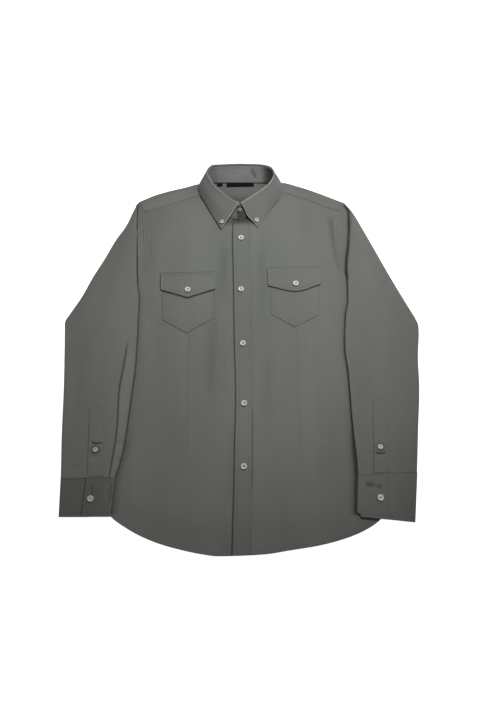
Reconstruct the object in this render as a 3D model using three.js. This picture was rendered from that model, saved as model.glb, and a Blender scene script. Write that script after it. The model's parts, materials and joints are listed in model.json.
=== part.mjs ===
// A long-sleeved button-down shirt, front up and laid flat, with its sleeves beside the body.
// Millimetres, +Z up, +Y towards the collar. The origin is the middle of the bounds, on the table.
// "Left" and "right" are as seen from above, with the collar away from the viewer.
import * as THREE from "three";

// One layer of cloth, the air between two layers, and the step from a layer to the next.
const WALL = 1.1;
const GAP = 0.3;
const LAYER = WALL + GAP;
const HALF = WALL / 2;
// Radius of the cloth's middle where a layer turns back under itself.
const TURN = 1.3;
// Extra room kept where one layer crosses the edge of another.
const MARGIN = 0.15;

const COLOURS = {
  cloth: 0x747671,
  collar: 0x7a7c79,
  label: 0x17171a,
  button: 0xd8d8d4,
};

// Small helpers: blends, and a smooth curve through a table's values.
const mix = (a, b, t) => a + (b - a) * t;
const clamp = (t) => Math.min(1, Math.max(0, t));

function ease(t) {
  const c = clamp(t);
  return c * c * c * (c * (6 * c - 15) + 10);
}

function curve(knots, values) {
  const slopes = knots.slice(1).map((k, i) => (values[i + 1] - values[i]) / (k - knots[i]));
  const tangents = knots.map((_, i) => {
    if (i === 0) return slopes[0];
    if (i === knots.length - 1) return slopes[i - 1];
    const before = slopes[i - 1];
    const after = slopes[i];
    return before * after <= 0 ? 0 : (2 * before * after) / (before + after);
  });
  return (at) => {
    const last = knots.length - 1;
    if (at <= knots[0]) return values[0] + tangents[0] * (at - knots[0]);
    if (at >= knots[last]) return values[last] + tangents[last] * (at - knots[last]);
    let i = 0;
    while (at > knots[i + 1]) i += 1;
    const span = knots[i + 1] - knots[i];
    const t = (at - knots[i]) / span;
    const rest = 1 - t;
    return (
      values[i] * rest * rest * (1 + 2 * t) +
      tangents[i] * span * t * rest * rest +
      values[i + 1] * t * t * (3 - 2 * t) -
      tangents[i + 1] * span * t * t * rest
    );
  };
}

// A line that is read at a height y, from a table whose rows go down the garment.
function sideLine(rows) {
  const upward = [...rows].reverse();
  return curve(
    upward.map((r) => r.y),
    upward.map((r) => r.x),
  );
}

// A line that is read at a place x, from a table whose rows go from left to right.
const crossLine = (rows) =>
  curve(
    rows.map((r) => r.x),
    rows.map((r) => r.y),
  );

// A seam that two pieces share runs straight between its rows, so that both follow it exactly.
function seamLine(rows) {
  return (y) => {
    let k = 0;
    while (k < rows.length - 2 && y < rows[k + 1].y) k += 1;
    return mix(rows[k].x, rows[k + 1].x, (y - rows[k].y) / (rows[k + 1].y - rows[k].y));
  };
}

// A border whose points are the ends of equal shares.
function stepped(points) {
  return {
    at: (share) => {
      const place = clamp(share) * (points.length - 1);
      const k = Math.min(Math.floor(place + 1e-9), points.length - 2);
      return [0, 1].map((i) => mix(points[k][i], points[k + 1][i], place - k));
    },
  };
}

// A path through points, read by its share of the whole length.
function path(points) {
  const lengths = [0];
  points.slice(1).forEach((p, i) => {
    lengths.push(lengths[i] + Math.hypot(p[0] - points[i][0], p[1] - points[i][1]));
  });
  const whole = lengths[lengths.length - 1];
  const across = curve(
    lengths,
    points.map((p) => p[0]),
  );
  const along = curve(
    lengths,
    points.map((p) => p[1]),
  );
  return { whole, at: (share) => [across(share * whole), along(share * whole)] };
}

// Evenly spaced shares from 0 to 1.
const shares = (count) => Array.from({ length: count + 1 }, (_, i) => i / count);

// The garment's outlines, each row a point on the line.
const SHOULDER = [
  { x: -218.6, y: 318.8 },
  { x: -184.9, y: 336.0 },
  { x: -154.5, y: 347.3 },
  { x: -121.3, y: 356.1 },
  { x: -89.2, y: 364.5 },
  { x: -71.0, y: 369.3 },
  { x: 66.0, y: 371.0 },
  { x: 86.5, y: 367.8 },
  { x: 123.3, y: 357.1 },
  { x: 163.6, y: 339.5 },
  { x: 203.6, y: 321.8 },
  { x: 219.9, y: 316.2 },
];

const HEM = [
  { x: -251.0, y: -311.0 },
  { x: -234.2, y: -334.1 },
  { x: -208.4, y: -353.4 },
  { x: -180.8, y: -369.8 },
  { x: -144.6, y: -385.3 },
  { x: -108.9, y: -394.6 },
  { x: -73.5, y: -400.6 },
  { x: -41.8, y: -403.1 },
  { x: -11.9, y: -401.6 },
  { x: 37.6, y: -398.5 },
  { x: 87.2, y: -389.6 },
  { x: 137.2, y: -380.5 },
  { x: 187.4, y: -368.4 },
  { x: 226.0, y: -352.7 },
  { x: 252.1, y: -334.0 },
  { x: 264.0, y: -315.0 },
];

// The armhole seam, from the shoulder's tip to the underarm, and the side seam below it.
const ARMHOLE_LEFT = [
  { x: -218.6, y: 318.8 },
  { x: -204.0, y: 299.0 },
  { x: -194.5, y: 268.0 },
  { x: -189.0, y: 240.7 },
  { x: -185.1, y: 200.5 },
  { x: -187.5, y: 170.3 },
  { x: -198.5, y: 147.4 },
  { x: -212.0, y: 131.0 },
  { x: -229.0, y: 110.0 },
  { x: -247.0, y: 88.6 },
];
const ARMHOLE_RIGHT = [
  { x: 219.9, y: 316.2 },
  { x: 206.0, y: 302.0 },
  { x: 197.8, y: 289.0 },
  { x: 194.2, y: 260.0 },
  { x: 194.9, y: 222.0 },
  { x: 198.6, y: 181.9 },
  { x: 204.5, y: 156.1 },
  { x: 213.5, y: 139.0 },
  { x: 230.0, y: 113.0 },
  { x: 249.0, y: 88.6 },
];
const SIDE_LEFT = [
  { x: -247.0, y: 88.6 },
  { x: -241.0, y: -10.0 },
  { x: -239.2, y: -97.0 },
  { x: -243.5, y: -200.0 },
  { x: -251.0, y: -311.0 },
];
const SIDE_RIGHT = [
  { x: 249.0, y: 88.6 },
  { x: 241.5, y: -10.0 },
  { x: 239.0, y: -97.0 },
  { x: 247.5, y: -200.0 },
  { x: 264.0, y: -315.0 },
];

// The sleeves: the outer fold, the inner edge that lies over the body, and the pleat beside it.
const SLEEVES = {
  left: {
    sign: -1,
    closesAt: 131,
    top: 313.5,
    outer: [
      { x: -218.6, y: 318.8 },
      { x: -222.8, y: 312.2 },
      { x: -241.8, y: 262.9 },
      { x: -261.1, y: 229.1 },
      { x: -281.7, y: 184.2 },
      { x: -302.3, y: 143.0 },
      { x: -322.1, y: 97.1 },
      { x: -342.1, y: 60.7 },
      { x: -350.0, y: 44.0 },
      { x: -348.6, y: 25.0 },
      { x: -345.4, y: -15.2 },
      { x: -339.7, y: -97.3 },
      { x: -335.9, y: -175.9 },
      { x: -329.9, y: -266.0 },
      { x: -327.1, y: -334.1 },
    ],
    edge: [
      { x: -221.5, y: 311.1 },
      { x: -219.3, y: 228.8 },
      { x: -215.3, y: 154.2 },
      { x: -213.2, y: 131.0 },
      { x: -206.9, y: 91.2 },
      { x: -205.0, y: 56.1 },
      { x: -204.5, y: 4.7 },
      { x: -205.4, y: -53.7 },
      { x: -208.5, y: -96.3 },
      { x: -213.9, y: -165.1 },
      { x: -217.1, y: -199.6 },
      { x: -222.7, y: -234.6 },
      { x: -230.5, y: -265.0 },
    ],
    // How far the pleat lies from the edge, and how much its fold stands up.
    pleat: [
      { y: 60, out: 14, step: 0 },
      { y: 12, out: 17, step: 0 },
      { y: -19, out: 20, step: 1.1 },
      { y: -54, out: 23, step: 1.4 },
      { y: -90, out: 25, step: 1.4 },
      { y: -166, out: 19, step: 1.4 },
      { y: -235, out: 15.5, step: 1.2 },
      { y: -265, out: 10.5, step: 0.8 },
    ],
    // Height of the middle of the top layer beside the inner edge, and the crease there.
    rise: [
      { y: 319, height: 3.3, crease: 0.2 },
      { y: 230, height: 4.4, crease: 0.7 },
      { y: 175, height: 5.2, crease: 1.4 },
      { y: 131, height: 6.2, crease: 2.4 },
    ],
    lean: -0.015,
  },
  right: {
    sign: 1,
    closesAt: 139,
    top: 311.0,
    outer: [
      { x: 219.9, y: 316.2 },
      { x: 234.0, y: 297.0 },
      { x: 254.5, y: 256.6 },
      { x: 277.8, y: 208.1 },
      { x: 300.7, y: 160.6 },
      { x: 322.5, y: 108.5 },
      { x: 347.4, y: 55.1 },
      { x: 350.0, y: 35.8 },
      { x: 342.8, y: -33.4 },
      { x: 340.2, y: -87.3 },
      { x: 331.2, y: -165.7 },
      { x: 321.6, y: -248.9 },
      { x: 313.3, y: -310.0 },
      { x: 309.0, y: -343.3 },
    ],
    edge: [
      { x: 219.6, y: 314.1 },
      { x: 227.0, y: 291.9 },
      { x: 223.0, y: 230.4 },
      { x: 214.6, y: 156.1 },
      { x: 214.7, y: 139.0 },
      { x: 213.6, y: 93.0 },
      { x: 206.8, y: 56.6 },
      { x: 201.7, y: -16.4 },
      { x: 205.4, y: -63.9 },
      { x: 207.5, y: -160.9 },
      { x: 211.6, y: -249.4 },
      { x: 210.9, y: -262.8 },
    ],
    pleat: [
      { y: 60, out: 16, step: 0 },
      { y: -265, out: 16, step: 0 },
    ],
    rise: [
      { y: 319, height: 3.4, crease: 0.4 },
      { y: 285, height: 5.2, crease: 1.6 },
      { y: 230, height: 5.8, crease: 2.3 },
      { y: 139, height: 6.2, crease: 2.6 },
    ],
    lean: 0.056,
  },
};

// The button band's two sides, and the front buttons on it.
const BAND_LEFT = [
  { x: -16.2, y: 290.7 },
  { x: -17.5, y: 229.3 },
  { x: -15.7, y: 140.5 },
  { x: -12.9, y: -17.1 },
  { x: -10.6, y: -88.9 },
  { x: -10.5, y: -124.9 },
  { x: -12.2, y: -192.8 },
  { x: -13.3, y: -271.0 },
  { x: -15.5, y: -358.0 },
  { x: -16.6, y: -398.8 },
];
const BAND_RIGHT = [
  { x: 13.6, y: 290.0 },
  { x: 14.4, y: 246.7 },
  { x: 17.5, y: 68.3 },
  { x: 18.7, y: -124.7 },
  { x: 18.0, y: -243.0 },
  { x: 15.3, y: -399.7 },
];
const FRONT_BUTTONS = [
  { x: -0.8, y: 232.2 },
  { x: -0.9, y: 114.3 },
  { x: 2.6, y: -2.8 },
  { x: 4.7, y: -124.4 },
  { x: 3.9, y: -244.3 },
];

// The seams where the yoke's front strips meet the fronts, from the armhole to the neck.
const YOKE_FRONT_LEFT = [
  [-204.0, 299.0],
  [-172.0, 310.6],
  [-147.0, 319.2],
  [-118.0, 328.9],
  [-95.4, 336.3],
  [-75.8, 343.5],
];
const YOKE_FRONT_RIGHT = [
  [206.0, 302.0],
  [186.0, 307.0],
  [157.0, 319.5],
  [118.0, 335.4],
  [86.0, 344.9],
  [71.0, 346.5],
];
// Height on the garment of the straight seam between the yoke and the back.
const YOKE_BACK = 230;
// The back edge of the neck, as the yoke is cut, and the yoke's half width there.
const NECK_BACK = 368.2;

const shoulderAt = crossLine(SHOULDER);
const hemAt = crossLine(HEM);
const bandLeftAt = sideLine(BAND_LEFT);
const bandRightAt = sideLine(BAND_RIGHT);

const sides = Object.fromEntries(
  Object.entries(SLEEVES).map(([name, s]) => {
    const armholeRows = name === "left" ? ARMHOLE_LEFT : ARMHOLE_RIGHT;
    const sideRows = name === "left" ? SIDE_LEFT : SIDE_RIGHT;
    const armhole = seamLine(armholeRows);
    const side = sideLine(sideRows);
    const read = (key) =>
      curve(
        [...s[key[0]]].reverse().map((r) => r.y),
        [...s[key[0]]].reverse().map((r) => r[key[1]]),
      );
    return [
      name,
      {
        ...s,
        armholeRows,
        sideRows,
        outerAt: sideLine(s.outer),
        edgeAt: sideLine(s.edge),
        // The body's own edge, under the sleeve.
        bodyAt: (y) => (y > 88.6 ? armhole(y) : side(Math.max(y, -322))),
        pleatOut: read(["pleat", "out"]),
        pleatStep: read(["pleat", "step"]),
        riseAt: read(["rise", "height"]),
        creaseAt: read(["rise", "crease"]),
      },
    ];
  }),
);

// How far the cloth of the yoke is lifted by the collar's leaf, which lies under it.
function neckLift(x, y) {
  return 1.7 * ease((y - 322) / 24) * ease((118 - Math.abs(x + 3)) / 25);
}

// The underside of the fronts: the cloth rises softly inside its edges, with a few long waves.
const LOFT = { height: 2.3, shoulder: 1.2, wave: 0.45 };

function frontFloor(x, y) {
  const inLeft = ease((x - sides.left.edgeAt(y)) / 80);
  const inRight = ease((sides.right.edgeAt(y) - x) / 80);
  const inHem = ease((y - hemAt(x)) / 70);
  const below = shoulderAt(x) - y;
  const inside = inLeft * inRight * inHem * ease(below / 70);
  const waves = Math.sin(x / 24 + y / 260) + 0.8 * Math.sin(x / 37 - y / 170 + 1.3);
  return (
    LAYER +
    inside * (LOFT.height + LOFT.wave * waves) +
    LOFT.shoulder * (1 - ease(below / 45)) +
    neckLift(x, y)
  );
}

const frontTop = (x, y) => frontFloor(x, y) + WALL;

// The right front climbs to lie beside the button band, which lies on the left front.
const bandRise = (x, y) => LAYER * ease((bandRightAt(y) + 34 - x) / 30);
const rightFrontFloor = (x, y) => frontFloor(x, y) + bandRise(x, y);

// Closed solids from sheets of quads: each point has a lower and an upper place.
function closeSheet(lower, upper, quads) {
  const corners = [];
  const place = (id, top) => corners.push(...(top ? upper[id] : lower[id]));
  const used = new Set();
  quads.forEach((q) => q.forEach((id, i) => used.add(`${id},${q[(i + 1) % 4]}`)));
  quads.forEach(([a, b, c, d]) => {
    [a, b, c, a, c, d].forEach((id) => place(id, true));
    [a, c, b, a, d, c].forEach((id) => place(id, false));
    [a, b, c, d].forEach((id, i, q) => {
      const next = q[(i + 1) % 4];
      if (used.has(`${next},${id}`)) return;
      place(id, true);
      place(id, false);
      place(next, false);
      place(id, true);
      place(next, false);
      place(next, true);
    });
  });
  const geometry = new THREE.BufferGeometry();
  geometry.setAttribute("position", new THREE.Float32BufferAttribute(corners, 3));
  geometry.computeVertexNormals();
  return geometry;
}

// Lists the quads of a grid, where cells can be left out and points can be shared.
function gridSheet(grid, { has = () => true, same = (i, j) => j } = {}) {
  const columns = grid[0].length;
  const points = grid.flat();
  const id = (i, j) => i * columns + same(i, j);
  const quads = [];
  for (let i = 0; i + 1 < grid.length; i += 1) {
    for (let j = 0; j + 1 < columns; j += 1) {
      if (has(i, j)) quads.push([id(i, j), id(i + 1, j), id(i + 1, j + 1), id(i, j + 1)]);
    }
  }
  return { points, quads };
}

// Turns the quads over where a sheet was listed the other way up.
const turned = (quads) => quads.map(([a, b, c, d]) => [d, c, b, a]);

// A flat-lying piece: its grid holds the underside, and the wall goes straight up.
function slab(grid, thickness = WALL) {
  const { points, quads } = gridSheet(grid);
  const [a, b, c] = quads[0].map((id) => points[id]);
  const facesUp = (b[0] - a[0]) * (c[1] - b[1]) - (b[1] - a[1]) * (c[0] - b[0]) > 0;
  const upper = points.map(([x, y, z]) => [x, y, z + thickness]);
  return closeSheet(points, upper, facesUp ? quads : turned(quads));
}

// Moves the points of a folded sheet along its normals, and keeps its wall's thickness at turns.
function movedOut({ points, quads }) {
  const at = points.map((p) => new THREE.Vector3(...p));
  const sums = at.map(() => new THREE.Vector3());
  const faces = quads.map((q) => {
    const [a, b, c, d] = q.map((id) => at[id]);
    const normal = new THREE.Vector3().crossVectors(c.clone().sub(a), d.clone().sub(b));
    return normal.normalize();
  });
  quads.forEach((q, k) => q.forEach((id) => sums[id].add(faces[k])));
  sums.forEach((sum) => sum.normalize());
  const leans = at.map(() => ({ sum: 0, count: 0 }));
  quads.forEach((q, k) => {
    q.forEach((id) => {
      leans[id].sum += sums[id].dot(faces[k]);
      leans[id].count += 1;
    });
  });
  return (distance) =>
    at.map((p, id) => {
      const lean = leans[id].count ? leans[id].sum / leans[id].count : 1;
      return p.clone().addScaledVector(sums[id], distance / Math.max(0.72, lean)).toArray();
    });
}

// A folded piece: its grid holds the cloth's middle, and the wall goes half to each side of it.
function folded(grid, options = {}) {
  const sheet = gridSheet(grid, options);
  const moved = movedOut(sheet);
  const shift = options.shift ?? 0;
  return closeSheet(moved(shift - HALF), moved(shift + HALF), sheet.quads);
}

const group = new THREE.Group();
group.name = "button_down_shirt";

function add(name, geometry, colour = COLOURS.cloth) {
  const material = new THREE.MeshStandardMaterial({ color: colour, roughness: 0.85 });
  material.name = name;
  const mesh = new THREE.Mesh(geometry, material);
  mesh.name = name;
  group.add(mesh);
}

// A patch between four borders, each read by a share: left and right go down, top and bottom go right.
function patch({ left, right, top, bottom }, down, across, floor) {
  const corner = [left(0), right(0), left(1), right(1)];
  return down.map((v) =>
    across.map((u) => {
      const [x, y] = [0, 1].map(
        (k) =>
          mix(top(u)[k], bottom(u)[k], v) +
          mix(left(v)[k], right(v)[k], u) -
          mix(mix(corner[0][k], corner[1][k], u), mix(corner[2][k], corner[3][k], u), v),
      );
      return [x, y, floor(x, y)];
    }),
  );
}

// A border made of several paths, with the share at which each one ends.
function joined(paths, ends) {
  return (share) => {
    let k = 0;
    while (k < paths.length - 1 && share > ends[k] + 1e-9) k += 1;
    const start = k === 0 ? 0 : ends[k - 1];
    return paths[k].at(clamp((share - start) / (ends[k] - start)));
  };
}

// The collar, by stations from the middle of the front round to the middle of the back: where its
// stand is sewn on, its top fold, the leaf's turn or middle, and the leaf's edge. The right half
// mirrors the left about the collar's middle, but for the differences in its last two columns.
const COLLAR_MIDDLE = -3;
const COLLAR = [
  { seam: [-24, 283, 7], fold: [-24.6, 319.4, 20], bend: [-39.5, 297.5, 16], edge: [-53.6, 273.8, 8], foldMove: [0.5, 4], edgeMove: [-2.5, 1.2] },
  { seam: [-42, 294, 6.5], fold: [-38.8, 330.4, 22], bend: [-53, 313, 17], edge: [-65.1, 294.5, 8], foldMove: [5.6, 6], edgeMove: [0.5, 4.9] },
  { seam: [-58, 309, 6], fold: [-54.5, 344.7, 25], bend: [-67.5, 331, 18.5], edge: [-76.9, 316.7, 8], foldMove: [5.8, 4], edgeMove: [6.5, 5.5] },
  { seam: [-68, 325, 6], fold: [-65.2, 359.8, 27], bend: [-79, 349.5, 19], edge: [-88.9, 339, 8], foldMove: [5.6, 2], edgeMove: [2.1, -1] },
  { seam: [-72.5, 345, 6.5], fold: [-73.5, 375.2, 29], bend: [-86, 364.5, 20], edge: [-93.8, 353.9, 8], foldMove: [1.9, 0], edgeMove: [-0.7, 0] },
  { seam: [-71.5, 352, 6.5], fold: [-74, 379.5, 29.3], bend: [-86.5, 371.5, 18], edge: [-93.2, 364.2, 7.2], foldMove: [0.5, 0], edgeMove: [-0.5, 3] },
  { seam: [-69.5, 359, 6], fold: [-72.5, 383, 29.5], bend: [-86, 377, 16], edge: [-92, 371, 4.2], foldMove: [-0.5, 0], edgeMove: [-1, 3] },
  { seam: [-66.5, 364, 5.2], fold: [-71, 386, 29.3], bend: [-86, 376.5, 6], edge: [-89, 372, 1], foldMove: [-1.5, -1], edgeMove: [-1, 3] },
  { seam: [-63, 368, 4.2], fold: [-68.1, 387.6, 29], bend: [-82.5, 376, 0.65], edge: [-84, 364.5, 0.56], foldMove: [-1.5, -2], edgeMove: [0, 0] },
  { seam: [-56, 370, 3.6], fold: [-58.7, 395.7, 28], bend: [-66, 373.5, 0.65], edge: [-68, 358, 0.56], foldMove: [1, -1], edgeMove: [0, 0] },
  { seam: [-38, 370, 3.4], fold: [-38.2, 398.8, 27], bend: [-42, 373.5, 0.65], edge: [-43, 357, 0.56], foldMove: [4, 0.5], edgeMove: [0, 0] },
  { seam: [-20, 370, 3.4], fold: [-20, 400.5, 26.3], bend: [-21, 373.5, 0.65], edge: [-22, 357, 0.56], foldMove: [0, 0], edgeMove: [0, 0] },
];
const COLLAR_BACK = { seam: [-3, 370, 3.4], fold: [-2.7, 401.2, 26], bend: [-3, 373.5, 0.65], edge: [-3, 357, 0.56] };
// The leaf's two front ends, and the stand's two ends, which lap at the middle of the front.
const LEAF_LEFT = { fold: [-5.8, 309.3, 19], bend: [-21, 284.5, 14.5], edge: [-41.8, 252.6, 8] };
const LEAF_RIGHT = { fold: [-0.6, 309.8, 19], bend: [13, 281, 14], edge: [34.4, 257.4, 8] };
const STAND_UNDER = [
  { seam: [9, 277, 7], fold: [8, 301, 10.8] },
  { seam: [-6, 274.8, 6.4], fold: [-6, 304.5, 12.2] },
];
const STAND_OVER = [
  { seam: [3, 274.6, 8.8], fold: [2.5, 306, 15.2] },
  { seam: [-7, 274.6, 8.6], fold: [-6.5, 303.5, 14.2] },
  { seam: [-14.2, 279.5, 8.8], fold: [-13.5, 297, 12.6] },
];

const mirrored = ([x, y, z], [dx, dy] = [0, 0]) => [2 * COLLAR_MIDDLE - x + dx, y + dy, z];

// Keeps a point of the collar clear above the fronts, where it lies over them.
function clearOfFront([x, y, z]) {
  const least = rightFrontFloor(x, y) + LAYER + HALF + MARGIN;
  return [x, y, z < 5 || y > shoulderAt(x) ? z : Math.max(z, least)];
}

const leftHalf = COLLAR.map((s) => ({ ...s }));
const rightHalf = COLLAR.map((s) => ({
  seam: mirrored(s.seam),
  fold: mirrored(s.fold, s.foldMove),
  bend: mirrored(s.bend, [mix(s.foldMove[0], s.edgeMove[0], 0.5), mix(s.foldMove[1], s.edgeMove[1], 0.5)]),
  edge: mirrored(s.edge, s.edgeMove),
})).reverse();
const aroundNeck = [...leftHalf, COLLAR_BACK, ...rightHalf];

const between = (a, b, t) => a.map((v, k) => mix(v, b[k], t));

function leafRow({ fold, bend, edge }) {
  const row = [fold, between(fold, bend, 0.35), between(fold, bend, 0.7), bend, between(bend, edge, 0.5), edge];
  return row.map(clearOfFront);
}

// The stand's top edge stays just under the leaf's fold.
const STAND_SHORT = 1.9;
const STAND_SHIFT = -1.7;

function standRow({ seam, fold }, short = STAND_SHORT) {
  const length = Math.hypot(...fold.map((v, k) => v - seam[k]));
  const top = between(seam, fold, 1 - short / length);
  return [top, between(top, seam, 0.35), between(top, seam, 0.7), seam];
}

// The neck edges of the fronts follow the stand's seam, a little way out from it.
const NECK_ROOM = 2;
const NECK_MIDDLE = [-3, 325];

function neckEdge([x, y]) {
  const [dx, dy] = [x - NECK_MIDDLE[0], y - NECK_MIDDLE[1]];
  const far = Math.hypot(dx, dy);
  return [x + (dx / far) * NECK_ROOM, y + (dy / far) * NECK_ROOM];
}

const neckLeft = [
  YOKE_FRONT_LEFT[5],
  ...[leftHalf[3].seam, leftHalf[2].seam, leftHalf[1].seam, leftHalf[0].seam].map(neckEdge),
];
const neckRight = [
  YOKE_FRONT_RIGHT[5],
  ...[leftHalf[3].seam, leftHalf[2].seam, leftHalf[1].seam, leftHalf[0].seam].map((p) => neckEdge(mirrored(p))),
];

// The back lies flat on the table, up to the yoke's straight seam.
const asPoints = (rows) => rows.map((r) => [r.x, r.y]);

function bodySide({ armholeRows, sideRows, bodyAt }, from, share) {
  const below = asPoints(armholeRows.filter((r) => r.y < from - 6));
  return joined([stepped([[bodyAt(from), from], ...below]), path(asPoints(sideRows))], [share, 1]);
}

const backRows = [...shares(6).map((t) => t * 0.3), ...shares(9).slice(1).map((t) => mix(0.3, 1, t))];
const seamGap = GAP / 2;
const backTop = YOKE_BACK - seamGap;
const back = patch(
  {
    left: bodySide(sides.left, backTop, 0.3),
    right: bodySide(sides.right, backTop, 0.3),
    top: stepped([
      [sides.left.bodyAt(backTop), backTop],
      [sides.right.bodyAt(backTop), backTop],
    ]).at,
    bottom: path(asPoints(HEM)).at,
  },
  backRows,
  shares(16),
  () => 0,
);
add("back", slab(back));

// The fronts, from the yoke's front seams and the neck down to the hem.
function lowered([x, y]) {
  return [x, y - GAP - 0.1];
}

const frontDown = [...shares(8).map((t) => t * 0.34), ...shares(13).slice(1).map((t) => mix(0.34, 1, t))];
const frontAcross = [...shares(5).map((t) => t * 0.55), ...shares(6).slice(1).map((t) => mix(0.55, 1, t))];

function hemBetween(from, to) {
  const inside = asPoints(HEM).filter(([x]) => x > Math.min(from, to) + 4 && x < Math.max(from, to) - 4);
  const points = [[Math.min(from, to), hemAt(Math.min(from, to))], ...inside, [Math.max(from, to), hemAt(Math.max(from, to))]];
  return path(from < to ? points : [...points].reverse());
}

const cornerY = { left: 299 - GAP, right: 302 - GAP };

const leftInner = { top: [11.5, 275.5], bottomX: 10.5 };
const frontLeft = patch(
  {
    left: bodySide(sides.left, cornerY.left, 0.34),
    right: path([
      leftInner.top,
      [10.5, 150],
      [13, -125],
      [leftInner.bottomX, hemAt(leftInner.bottomX)],
    ]).at,
    top: joined(
      [
        stepped(YOKE_FRONT_LEFT.map(lowered)),
        path([lowered(neckLeft[0]), ...neckLeft.slice(1), [-10, 273.2], leftInner.top]),
      ],
      [0.55, 1],
    ),
    bottom: hemBetween(-251, leftInner.bottomX).at,
  },
  frontDown,
  frontAcross,
  frontFloor,
);
add("front_left", slab(frontLeft));

const rightInner = bandRightAt(280) + 0.5;
const frontRight = patch(
  {
    left: bodySide(sides.right, cornerY.right, 0.34),
    right: (share) => {
      const top = 277.5;
      const y = mix(top, hemAt(bandRightAt(-398) + 0.4), share);
      return [bandRightAt(y) + 0.4, y];
    },
    top: joined(
      [
        stepped(YOKE_FRONT_RIGHT.map(lowered)),
        path([lowered(neckRight[0]), ...neckRight.slice(1), [rightInner, 277.5]]),
      ],
      [0.55, 1],
    ),
    bottom: hemBetween(264, bandRightAt(-398) + 0.4).at,
  },
  frontDown,
  frontAcross,
  rightFrontFloor,
);
add("front_right", slab(frontRight));

// The button band lies on the left front and ends beside the right one.
const BAND_WALL = 1.4;
const FLAP_WALL = 1.3;
const bandFloor = (x, y) => frontFloor(x, y) + LAYER + MARGIN;
const bandTop = 272.2;
const band = shares(26).map((v) =>
  shares(3).map((u) => {
    const bottomY = hemAt(mix(-16, 15, u));
    const y = mix(bandTop + 2 * Math.abs(u - 0.5), bottomY, v);
    const x = mix(bandLeftAt(y), bandRightAt(y), u);
    return [x, y, bandFloor(x, y)];
  }),
);
add("placket", slab(band, BAND_WALL));

// The yoke: from its seam with the back, up and over the shoulders, to the fronts.
const YOKE_COLUMNS = [
  { base: -187, fold: -218.0, front: YOKE_FRONT_LEFT[0] },
  { base: -158, fold: -184.9, front: YOKE_FRONT_LEFT[1] },
  { base: -130, fold: -154.5, front: YOKE_FRONT_LEFT[2] },
  { base: -103, fold: -121.3, front: YOKE_FRONT_LEFT[3] },
  { base: -82, fold: -94, front: YOKE_FRONT_LEFT[4] },
  { base: -64, fold: -73, front: YOKE_FRONT_LEFT[5] },
  { base: -52, fold: -60 },
  { base: -30, fold: -34 },
  { base: -3, fold: -3 },
  { base: 24, fold: 28 },
  { base: 46, fold: 54 },
  { base: 60, fold: 68.5, front: YOKE_FRONT_RIGHT[5] },
  { base: 78, fold: 86.5, front: YOKE_FRONT_RIGHT[4] },
  { base: 103, fold: 123.3, front: YOKE_FRONT_RIGHT[3] },
  { base: 132, fold: 163.6, front: YOKE_FRONT_RIGHT[2] },
  { base: 163, fold: 196, front: YOKE_FRONT_RIGHT[1] },
  { base: 194.6, fold: 219.3, front: YOKE_FRONT_RIGHT[0] },
];
// Heights on the armhole that the yoke's end columns share with the sleeves' rows.
const YOKE_KNOTS = {
  left: [240.7, 254, 268, 283, 299],
  right: [245, 260, 275, 289, 302],
};
const YOKE_BACK_SHARES = [0, 0.22, 0.44, 0.62, 0.78, 0.9, 1];

function yokeColumn({ base, fold, front }, index, all) {
  const start = YOKE_BACK + seamGap;
  const foldY = shoulderAt(fold);
  const endY = front ? foldY - TURN : NECK_BACK;
  const armhole = index === 0 ? sides.left : sides.right;
  const isSide = index === 0 || index === all.length - 1;
  const under = (x, y) => HALF + neckLift(x, y);
  const knots = index === 0 ? YOKE_KNOTS.left : YOKE_KNOTS.right;
  const rows = YOKE_BACK_SHARES.map((v, i) => {
    const inner = i > 0 && i < YOKE_BACK_SHARES.length - 1;
    const y = isSide && inner ? knots[i - 1] : mix(start, endY, v);
    const x = isSide ? armhole.bodyAt(y) - armhole.sign * 0.3 : mix(base, fold, v);
    return [x, y, under(x, y)];
  });
  const [x, y] = [fold, foldY];
  const low = under(x, y - TURN);
  const high = frontFloor(x, y - TURN) + HALF;
  const middle = (low + high) / 2;
  const reach = (high - low) / 2;
  rows.push([x, y - TURN + TURN * Math.SQRT1_2, middle - reach * Math.SQRT1_2]);
  rows.push([x, y, middle]);
  rows.push([x, y - TURN + TURN * Math.SQRT1_2, middle + reach * Math.SQRT1_2]);
  rows.push([x, y - TURN, high]);
  const [seamX, frontY] = front ?? [x, y];
  const frontX = seamX - (isSide ? armhole.sign * 0.4 : 0);
  [0.33, 0.67, 1].forEach((t) => {
    const across = mix(x, frontX, t);
    const along = mix(y - TURN, frontY, t);
    rows.push([across, along, frontFloor(across, along) + HALF]);
  });
  return rows;
}

const yokeColumns = YOKE_COLUMNS.map(yokeColumn);
const yokeGrid = yokeColumns[0].map((_, i) => yokeColumns.map((column) => column[i]));
const lastBackRow = YOKE_BACK_SHARES.length - 1;
const isShoulder = (j) => Boolean(YOKE_COLUMNS[j].front && YOKE_COLUMNS[j + 1].front);
add("yoke", folded(yokeGrid, { has: (i, j) => i < lastBackRow || isShoulder(j) }));

// The sleeves. Each row goes from the armhole or the inner edge over the top to the outer fold,
// and back underneath. Below "closesAt" the row is closed, and it lies over the body's edge.
// Distances "out" grow away from the garment's middle.
function sleeveFloor(side, out, y) {
  const x = side.sign * out;
  const overBody = ease((side.sign * side.bodyAt(y) + 31 - out) / 21);
  const share = overBody * ease((side.closesAt + 14 - y) / 14);
  return mix(HALF, frontFloor(x, y) + LAYER + HALF + MARGIN, share);
}

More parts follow.
